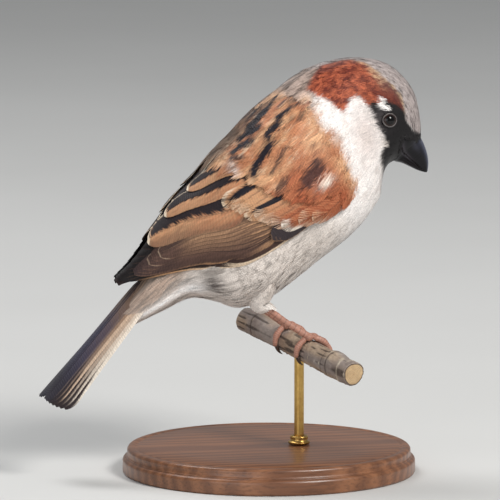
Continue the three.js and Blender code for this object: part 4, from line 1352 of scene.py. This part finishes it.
# From the middle pair outward: where the feathers end, as shares of the tail's length, on the left
# and on the right, and how strong their pale edges are.
TAIL_ENDS = {
    1: (1.0, 1.005, 1.012, 1.012, 0.988, 0.978),
    -1: (1.035, 1.035, 1.03, 1.02, 1.005, 0.985),
}
TAIL_EDGES = (0.6, 0.5, 1.0, 0.6, 0.85, 1.0)


def tail():
    parts = Parts()
    fan = TailFan()
    more = dict(camber=0.3, reach=0.05, fray=0.012, shaft=0.2, blunt=0.13, ends=0.9)
    feathers = [(rank, side) for rank in range(5, -1, -1) for side in (1, -1)]
    for cell, (rank, side) in enumerate(feathers):
        centre, start = side * (0.03 + 0.158 * rank), side * (0.1 + 0.09 * rank)
        depth = -1.15 * rank / 5 - (0.08 if side > 0 else 0)
        bulge = 0.08 if side > 0 and rank > 3 else 0.0
        end = TAIL_ENDS[side][rank]
        path = ((0.0, start), (0.5, (start + centre) / 2 + bulge), (end, centre))
        paint = lambda s, v, noise: paint_tail(s, v * side, noise, centre, TAIL_EDGES[rank])
        lifts = (depth - 0.6, depth - 0.1)
        vane(parts, fan, path, (3.2, 1.9)[::-side], lifts, paint, 190, cell, **more)
    rows, columns = 40, 24
    s, v = np.meshgrid(np.linspace(0, 0.9, rows), np.linspace(-0.8, 0.8, columns), indexing="ij")
    colour = mix(DARK_BROWN, FLIGHT_BROWN, 0.5)
    root_depth, tip_depth = TAIL_SHELL_DEPTHS
    shell = fan.point(s, v, -root_depth + (root_depth - tip_depth) * s)
    parts.add(shell, grid_faces(rows, columns, closed=False), colour, places=SHELL_PLACE)
    return parts


mantle().build("mantle_feathers", "wing_plumage", vane_plume)
right_wing = wing()
right_wing.build("wing_right_feathers", "wing_plumage", vane_plume, ("wing_right",))
mirrored(right_wing).build("wing_left_feathers", "wing_plumage", vane_plume, ("wing_left",))
tail().build("tail_feathers", "tail_plumage", tail_plume, ("tail",))

# ------------------------------------------------------------------ bill and eyes


def gape_angle(t):
    """The angle from the culmen at which the line of the gape crosses the bill."""
    middle, arm = halves(spline(BILL.table, t))
    way = np.array(GAPE_TO) - GAPE_FROM
    across = (way[1], -way[0])
    rise = np.clip(((np.array(GAPE_FROM) - middle) @ across) / (arm @ across), -0.96, 0.96)
    return np.degrees(np.arccos(np.sign(rise) * np.abs(rise) ** (FULLNESS / 2)))


def horn(upper):
    """One half of the bill: its outer sheath, which runs back over the face to the feathers' line,
    and, behind the cutting edge, a hollow roof or floor."""
    back = np.linspace(1.06, 0.08, 16)
    face = len(back)
    t = np.linspace(0.15, 4.0 if upper else 3.86, 60)
    share = np.linspace(-1, 1, 49)[None]
    cut = np.interp(back, (0, 1), (gape_angle(np.array(0.1)), 96))
    cut = np.concatenate([cut, gape_angle(t)])[:, None]
    phi = share * (cut - 1.2) if upper else 180 + share * (180 - cut - 1.2)
    angle = np.abs(phi) if upper else 180 - np.abs(180 - phi)
    on_face = -back[:, None] * np.interp(angle[:face], *FACE_LINE)
    place = np.concatenate([on_face, t[:, None] + 0 * angle[face:]])
    if upper:
        ridge = 0.22 * bump_at(phi, 0, 15) + 0.10 * bump_at(np.abs(share), 0.93, 0.06)
        nostril = np.exp(-(((place + 0.1) / 0.17) ** 2) - ((angle - 42) / 10) ** 2)
        grow = -0.2 + ridge - 0.5 * nostril
    else:
        nostril = 0 * phi
        grow = -0.15 - 0.12 * bump_at(np.abs(share), 0.80, 0.06) + nostril
    swell = np.interp(back, (0, 0.3, 0.9, 1.06), (0.0, 0.12, 0.1, -0.25))[:, None]
    over_face = BODY.point(-place[:face], phi[:face], grow[:face] + swell)
    outer = np.concatenate([over_face, BILL.point(place[face:], phi[face:], grow[face:])])
    flat_in = np.linspace(0, 1, 9)[1:-1][None, :, None]
    arch = (0.5 if upper else -0.35) * np.sin(np.pi * flat_in)
    across = outer[:, -1:] + (outer[:, :1] - outer[:, -1:]) * flat_in
    taper = np.clip((4.0 - place.max(1)) / 1.5, 0.0, 1)[:, None, None]
    inner = across + taper * arch * np.array([0.6, 0, 0.8])
    # Painted reflection and highlight: the culmen carries the blue-grey of a reflection, faintly
    # also under the lower mandible, and a patch on the upper mandible's side near its base is
    # lightened as a highlight.
    lit = bump_at(angle, 0, 32) if upper else 0.15 * bump_at(angle, 180, 38)
    growth = 0.5 + 0.5 * np.sin(place * 21 + 0.6 * np.sin(phi * 0.1))
    side_highlight = bump_at(angle, 60, 14) * bump_at(place, 0.3, 0.7) * 0.2 * upper
    tint = layered(
        mix(BLACK * 0.6, BILL_REFLECTION_BLUE, 0.75 * lit + 0.03 * growth),
        (mix(SLATE, BILL_REFLECTION_BLUE, 0.6), side_highlight),
        (SLATE, bump_at(np.abs(share), 0.97, 0.04) * ramp(-place, -2.2, -0.5) * 0.7),
        (BLACK, np.clip(nostril, 0, 1) * 0.95),
    )
    mouth = np.broadcast_to(mix(BLACK, RUST, 0.15), inner.shape)
    parts = Parts()
    parts.add_tube(np.concatenate([outer, inner], 1), np.concatenate([tint, mouth], 1))
    return parts


def about(axis):
    """Two directions at right angles to an axis, the second pointing up."""
    level = np.cross([0.0, 0.0, 1.0], axis)
    level /= np.linalg.norm(level)
    return level, np.cross(axis, level)


def eyeball(centre, out):
    level, rise = about(out)
    away = np.concatenate([[0.3], np.linspace(2, 100, 50)])
    off, turn = np.meshgrid(away, np.arange(96) * 3.75, indexing="ij")
    r = EYE_RADIUS - 0.04 + 0.10 * bump_at(off, 0, 34)
    a, b = np.radians(off)[..., None], np.radians(turn)[..., None]
    way = out * np.cos(a) + (level * np.cos(b) + rise * np.sin(b)) * np.sin(a)
    rays = patchy(turn * 0.32, off * 0.1, 11)
    iris = mix(EYE_BROWN, EYE_BROWN * 2.2, rays * 0.7)
    tint = layered(BLACK * 0.4, (iris, ramp(off, 31, 34)), (BLACK * 0.6, ramp(off, 52, 60)))
    parts = Parts()
    parts.add_tube(centre + way * r[..., None], tint)
    return parts


def lids(parts, centre, out):
    """A ring of bare skin with small swellings, drawn out to a corner before and behind."""
    level, rise = about(out)
    turns, folds = 180, 16
    turn, fold = np.meshgrid(np.arange(turns) * 2.0, np.arange(folds) * 22.5, indexing="ij")
    a, b = np.radians(turn), np.radians(fold)
    opening = EYE_OPENING - 0.12 + 0.16 * np.cos(a) ** 6 - 0.10 * ramp(np.sin(a), 0.3, 1.0)
    beads = 0.035 * np.abs(np.sin(a * 17))
    thick = 0.21 + beads
    r = (opening + thick * np.cos(b))[..., None]
    height = np.sqrt(np.maximum(EYE_RADIUS**2 - opening**2, 0.2)) + 0.05 + thick * 0.8 * np.sin(b)
    round_eye = (level * np.cos(a)[..., None] + rise * np.sin(a)[..., None]) * r
    points = centre + out * height[..., None] + round_eye
    pale = 0.12 + 0.55 * ramp(patchy(turn * 0.06, fold * 0.0, 3), 0.3, 0.7) + 5 * beads
    tint = mix(SOOT, LID_GREY, np.clip(pale, 0, 1) * ramp(np.cos(b), -0.4, 0.4))
    parts.add(points, grid_faces(turns + 1, folds) % (turns * folds), tint)


# ------------------------------------------------------------------ legs, perch and stand


def rounded(u, radius, end=0.25):
    """A radius that closes to a round end at each end of a path."""
    close = lambda x: np.sqrt(np.clip(1 - (1 - np.clip(x, 0, 1)) ** 2, 0.0025, 1))
    return radius * close(u / end) * close((1 - u) / end)


def swept(parts, path, radius, colour, steps, sides, ripple=0, groove=0.0):
    """A tube along a path, crossed by scales that overlap like tiles if it has a ripple."""
    tube = Tube(path, lambda u: radius(u) * (1 + groove * (0.5 - (u * ripple) % 1.0)))
    turns = np.arange(sides) * 360.0 / sides
    u, angle = np.meshgrid(np.linspace(0, 1, steps), turns, indexing="ij")
    tint = np.broadcast_to(colour, (*u.shape, 3))
    if ripple:
        tint = mix(tint, colour * 0.45, ramp((u * ripple) % 1.0, 0.72, 0.98) * 0.8)
    tint = tint * (0.92 + 0.16 * patchy(u * 14, angle / 40, 21))[..., None]
    parts.add_tube(tube.point(u, angle), tint)


def toe_path(side, toe, start, end, distance):
    first, _, last, spread = TOES[toe]
    angle = np.linspace(start, end, 12)
    whole = np.clip((angle - first) / (last - first), 0, 1)
    base = 0.0 if toe in ("hind", "middle") else math.copysign(1.1, spread)
    return round_perch(angle, distance, side * (FOOT_SPACING / 2 + base + spread * whole**0.8))


def leg(name, side):
    """The bare leg and its toes, and the four claws."""
    bare, claws = Parts(), Parts()
    heel, hub = np.array(HEELS[name]), HUBS[name]
    middle = (heel + hub) / 2 + np.array([-0.4, 0, -0.3])
    shank = lambda u: TARSUS_RADIUS * (1 + 0.25 * np.abs(2 * u - 1) ** 3)
    swept(bare, [heel, middle, hub], shank, LEG_PINK, 110, 24, 11, 0.07)
    a, b = np.meshgrid(np.linspace(4, 176, 18), np.arange(24) * 15.0, indexing="ij")
    a, b = np.radians(a), np.radians(b)
    ball = stacked(np.cos(a), 1.35 * np.sin(a) * np.cos(b), 0.9 * np.sin(a) * np.sin(b))
    lumps = 1 + 0.04 * np.sin(7 * b) * np.sin(a) - 0.02
    bare.add_tube(hub + ball * HUB_RADIUS * lumps[..., None], LEG_PINK * 0.95)
    horn_colour = mix(CLAW_BROWN, BLACK, 0.2)
    for toe, (start, end, claw_end, _) in TOES.items():
        pads = 2 if toe == "hind" else 3
        path = toe_path(side, toe, start, end, PERCH_RADIUS + GAP + TOE_RADIUS * 1.18)
        pad = lambda u: (1.08 - 0.22 * u) * (1 + 0.09 * np.cos(2 * np.pi * pads * u))
        swept(bare, path, lambda u: rounded(u, TOE_RADIUS * pad(u)), LEG_PINK, 90, 20, 13, 0.06)
        over = 3 if end < start else -3
        path = toe_path(side, toe, end + over, claw_end, PERCH_RADIUS + GAP + CLAW_RADIUS * 1.1)
        swept(claws, path, lambda u: CLAW_RADIUS * (1.02 - 0.95 * u**1.6), horn_colour, 40, 16)
    return bare, claws


KNOTS = ((0.16, 0.7, 0.045, 0.006), (0.87, 0.55, 0.04, 0.005))  # share of the length, rise, widths
SCAR = (0.205, 0.003)


def perch():
    rows, sides = 420, 132
    turns = np.arange(sides) * 2 * np.pi / sides
    u, angle = np.meshgrid(np.linspace(0, 1, rows), turns, indexing="ij")
    along = (u - 0.5) * PERCH_LENGTH
    clear = ramp(np.abs(along), 11.5, 14.5)  # 0 where the feet grip, and the twig is straight there
    bend = 1.6 * ((2 * u - 1) ** 2 - 0.06) * np.sign(0.5 - u)
    node = sum(rise * bump_at(u, at, width) for at, rise, width, _ in KNOTS)
    scar = sum(bump_at(u, at, width) for at, _, _, width in KNOTS) + bump_at(u, *SCAR)
    turn = np.abs(angle / np.pi - 1)
    patches = lambda step, seed, across: patchy(along / step, turn * across, seed)
    cracks = ramp(patches(5.5, 31, 13), 0.60, 0.80)
    fine = patches(0.8, 32, 30)
    lenticel = ramp(patches(0.9, 33, 5), 0.86, 0.95)
    size = PERCH_RADIUS + BARK + clear * node * (0.7 + 0.5 * np.cos(angle - 1))
    size = size + clear * 0.12 * np.sin(3 * angle + 9 * u)
    size = size - 0.12 - 0.16 * cracks - 0.12 * fine + 0.14 * lenticel - 0.3 * scar * clear
    size = size * (0.93 + 0.07 * ramp(np.minimum(u, 1 - u), 0.0, 0.006))
    offset = clear * bend * (np.abs(2 * u - 1) - 0.42)
    points = perch_frame(stacked(size * np.cos(angle) + offset, along, size * np.sin(angle)))
    tint = layered(
        mix(BARK_FAWN, BARK_GREY, ramp(patches(7, 34, 3), 0.3, 0.7)),
        (BARK_DARK, cracks * 0.75 + 0.2 * fine),
        (BARK_PALE, lenticel * 0.8),
        (BARK_DARK, np.clip(scar * clear, 0, 1) * 0.8),
    )
    parts = Parts()
    parts.add(points, grid_faces(rows, sides), tint)
    share = np.linspace(1, 0.004, 40)[:, None]
    growth = 0.5 + 0.5 * np.sin(share * 46 + 0.5 * np.sin(3 * angle[0])[None])
    pith = (WOOD_RING, fall(share, 0.04, 0.08))
    bark_edge = (BARK_DARK, ramp(share, 0.9, 0.94))
    tint = layered(mix(WOOD_PALE, WOOD_RING, growth * 0.55), bark_edge, pith)
    for row, way in ((0, 1), (rows - 1, -1)):
        middle = points[row].mean(0)
        cut = middle + (points[row] - middle)[None] * share[..., None]
        parts.add(cut, grid_faces(len(share), sides)[:, ::way], tint)
    return parts


def turned(name, slot, material, profile, node, x, colour, sides):
    """A piece turned about an upright axis at x, from its profile of (radius, height)."""
    profile = np.array(profile, float)
    angle = np.arange(sides) * 2 * np.pi / sides
    radius, height = profile[:, :1], profile[:, 1:]
    points = stacked(radius * np.cos(angle) + x, radius * np.sin(angle), height)
    parts = Parts()
    parts.add(points, grid_faces(len(profile), sides)[:, ::-1], colour)
    parts.build(name, slot, material, (node,))


def arc(x, z, radius, start, end, count=8):
    a = np.radians(np.linspace(start, end, count))
    return [(x + radius * math.cos(v), z + radius * math.sin(v)) for v in a]


beak = horn_material("bill_horn", 0.36, 0.15, 0.15)
for part, upper in (("upper", True), ("lower", False)):
    horn(upper).build(f"bill_{part}_horn", "bill", beak, ("bill_" + part,))

eye_gloss = eye_material()
lid_skin = horn_material("lid_skin", 0.5, 0.0)
lid_parts = Parts()
for side_name, (centre, out) in EYES.items():
    eyeball(centre, out).build("eyeball_" + side_name, "eye", eye_gloss, ("eye_" + side_name,))
    lids(lid_parts, centre, out)
lid_parts.build("eyelids", "leg_skin", lid_skin)

scales = skin_material()
claw_horn = horn_material("claw_horn", 0.36, 0.2)
for side_name, side in SIDES:
    limb, nails = leg(side_name, side)
    replaced = ("leg_" + side_name, "foot_" + side_name)
    limb.build("foot_skin_" + side_name, "leg_skin", scales, replaced)
    replaced = tuple(f"claw_{toe}_{side_name}" for toe in TOES)
    nails.build("claws_" + side_name, "claw", claw_horn, replaced)

perch().build("twig", "bark", bark_material(), ("perch",))

R, H = BASE_RADIUS, BASE_HEIGHT
base_profile = [
    *((0.05, 0.0), (20, 0.0), (R - 1.0, 0.0)),
    *arc(R - 0.8, 0.8, 0.8, -90, 0),
    *arc(R - 1.3, 3.6, 1.3, 0, 70),
    (R - 1.3, 4.9),
    *arc(R - 0.4, 6.1, 1.2, 235, 170)[:4],
    *arc(R - 2.6, H - 1.2, 1.2, 0, 90),
    *((R - 3.6, H), (R - 4.0, H - 0.25), (R - 4.6, H - 0.25), (R - 5.0, H)),
    *((30, H), (10, H), (0.05, H)),
]
wood = wood_material()
turned("base_turned", "stand_wood", wood, base_profile, "stand_base", 0.0, WOOD_RING, 192)

brass = brass_material()
rod_profile = [
    (0.05, ROD_FOOT),
    *((ROD_RADIUS, z) for z in (ROD_FOOT, 12, 24, ROD_TOP - 0.5)),
    *arc(ROD_RADIUS - 0.4, ROD_TOP - 0.4, 0.4, 0, 90, 5),
    (0.05, ROD_TOP),
]
turned("rod_brass", "stand_metal", brass, rod_profile, "stand_rod", PERCH_X, BRASS, 48)
BORE, C, B = ROD_RADIUS + 0.3, COLLAR_RADIUS, BASE_HEIGHT + GAP
collar_profile = [
    *((BORE, B), (C - 0.2, B)),
    *arc(C - 0.3, B + 0.5, 0.3, -60, 60, 6),
    (C - 0.7, B + 0.95),
    *arc(C - 1.1, B + COLLAR_HEIGHT - 0.55, 0.5, -30, 90),
    *((BORE, B + COLLAR_HEIGHT), (BORE, B)),
]
turned("collar_brass", "stand_metal", brass, collar_profile, "stand_collar", PERCH_X, BRASS, 64)

# ------------------------------------------------------------------ stage

CAMERA_AZIMUTH, CAMERA_ELEVATION = math.radians(-12), math.radians(8)
CAMERA_DISTANCE, SENSOR_WIDTH = 2000.0, 36.0
FRAME_WIDTH = 500 / 3.25  # the photo's width in pixels, and its pixels to the millimetre
FOCUS = (-5.8, 68.0)  # right of and above the model's origin, as the camera sees it

right = Vector((math.cos(CAMERA_AZIMUTH), math.sin(CAMERA_AZIMUTH), 0))
level_back = Vector((math.sin(CAMERA_AZIMUTH), -math.cos(CAMERA_AZIMUTH), 0))
back = level_back * math.cos(CAMERA_ELEVATION) + Vector((0, 0, math.sin(CAMERA_ELEVATION)))
up = back.cross(right)
eye = (right * FOCUS[0] + up * FOCUS[1]) * MM + back * CAMERA_DISTANCE * MM
lens = bpy.data.cameras.new("camera")
lens.sensor_width = SENSOR_WIDTH
lens.lens = SENSOR_WIDTH * CAMERA_DISTANCE / FRAME_WIDTH
camera = placed("camera", lens)
facing = Matrix((right, up, back)).transposed().to_4x4()
camera.matrix_world = Matrix.Translation(eye) @ facing
bpy.context.scene.camera = camera

# name: place, size, power and colour
LIGHTS = {
    "key": ((0.5, -0.78, 0.88), 0.35, 12.5, (1.0, 0.98, 0.95)),
    "fill": ((-0.75, -0.95, 0.25), 0.9, 4.5, (0.94, 0.97, 1.0)),
    "rim": ((-0.35, 0.5, 1.1), 0.5, 7, (1, 1, 1)),
}
LIT_HEIGHT = 0.08
SKY_COLOUR, SKY_STRENGTH = (0.86, 0.88, 0.9, 1), 0.3
for name, (place, size, power, colour) in LIGHTS.items():
    light = bpy.data.lights.new(name, "AREA")
    light.size, light.energy, light.color = size, power, colour
    lamp = placed(name, light)
    lamp.location = place
    aim = Vector((0, 0, LIT_HEIGHT)) - Vector(place)
    lamp.rotation_euler = aim.to_track_quat("-Z", "Y").to_euler()

world = bpy.data.worlds.new("studio")
bpy.context.scene.world = world
world.use_nodes = True
sky = world.node_tree.nodes["Background"].inputs
sky["Color"].default_value = SKY_COLOUR
sky["Strength"].default_value = SKY_STRENGTH
bpy.context.scene.view_settings.view_transform = "Standard"

REACH = 4
floor_mesh = bpy.data.meshes.new("floor")
corners = [(-REACH, -REACH, 0), (REACH, -REACH, 0), (REACH, REACH, 0), (-REACH, REACH, 0)]
floor_mesh.from_pydata(corners, [], [(0, 1, 2, 3)])
floor = placed("floor", floor_mesh)
paint = Nodes("floor_paint")
pale = paint.ramp(paint.noise(3.0), (0.3, (0.6, 0.6, 0.59)), (0.7, (0.64, 0.64, 0.63)))
paint.set(Base_Color=pale, Roughness=0.85)
floor_mesh.materials.append(paint.material)
floor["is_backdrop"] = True

low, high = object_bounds()
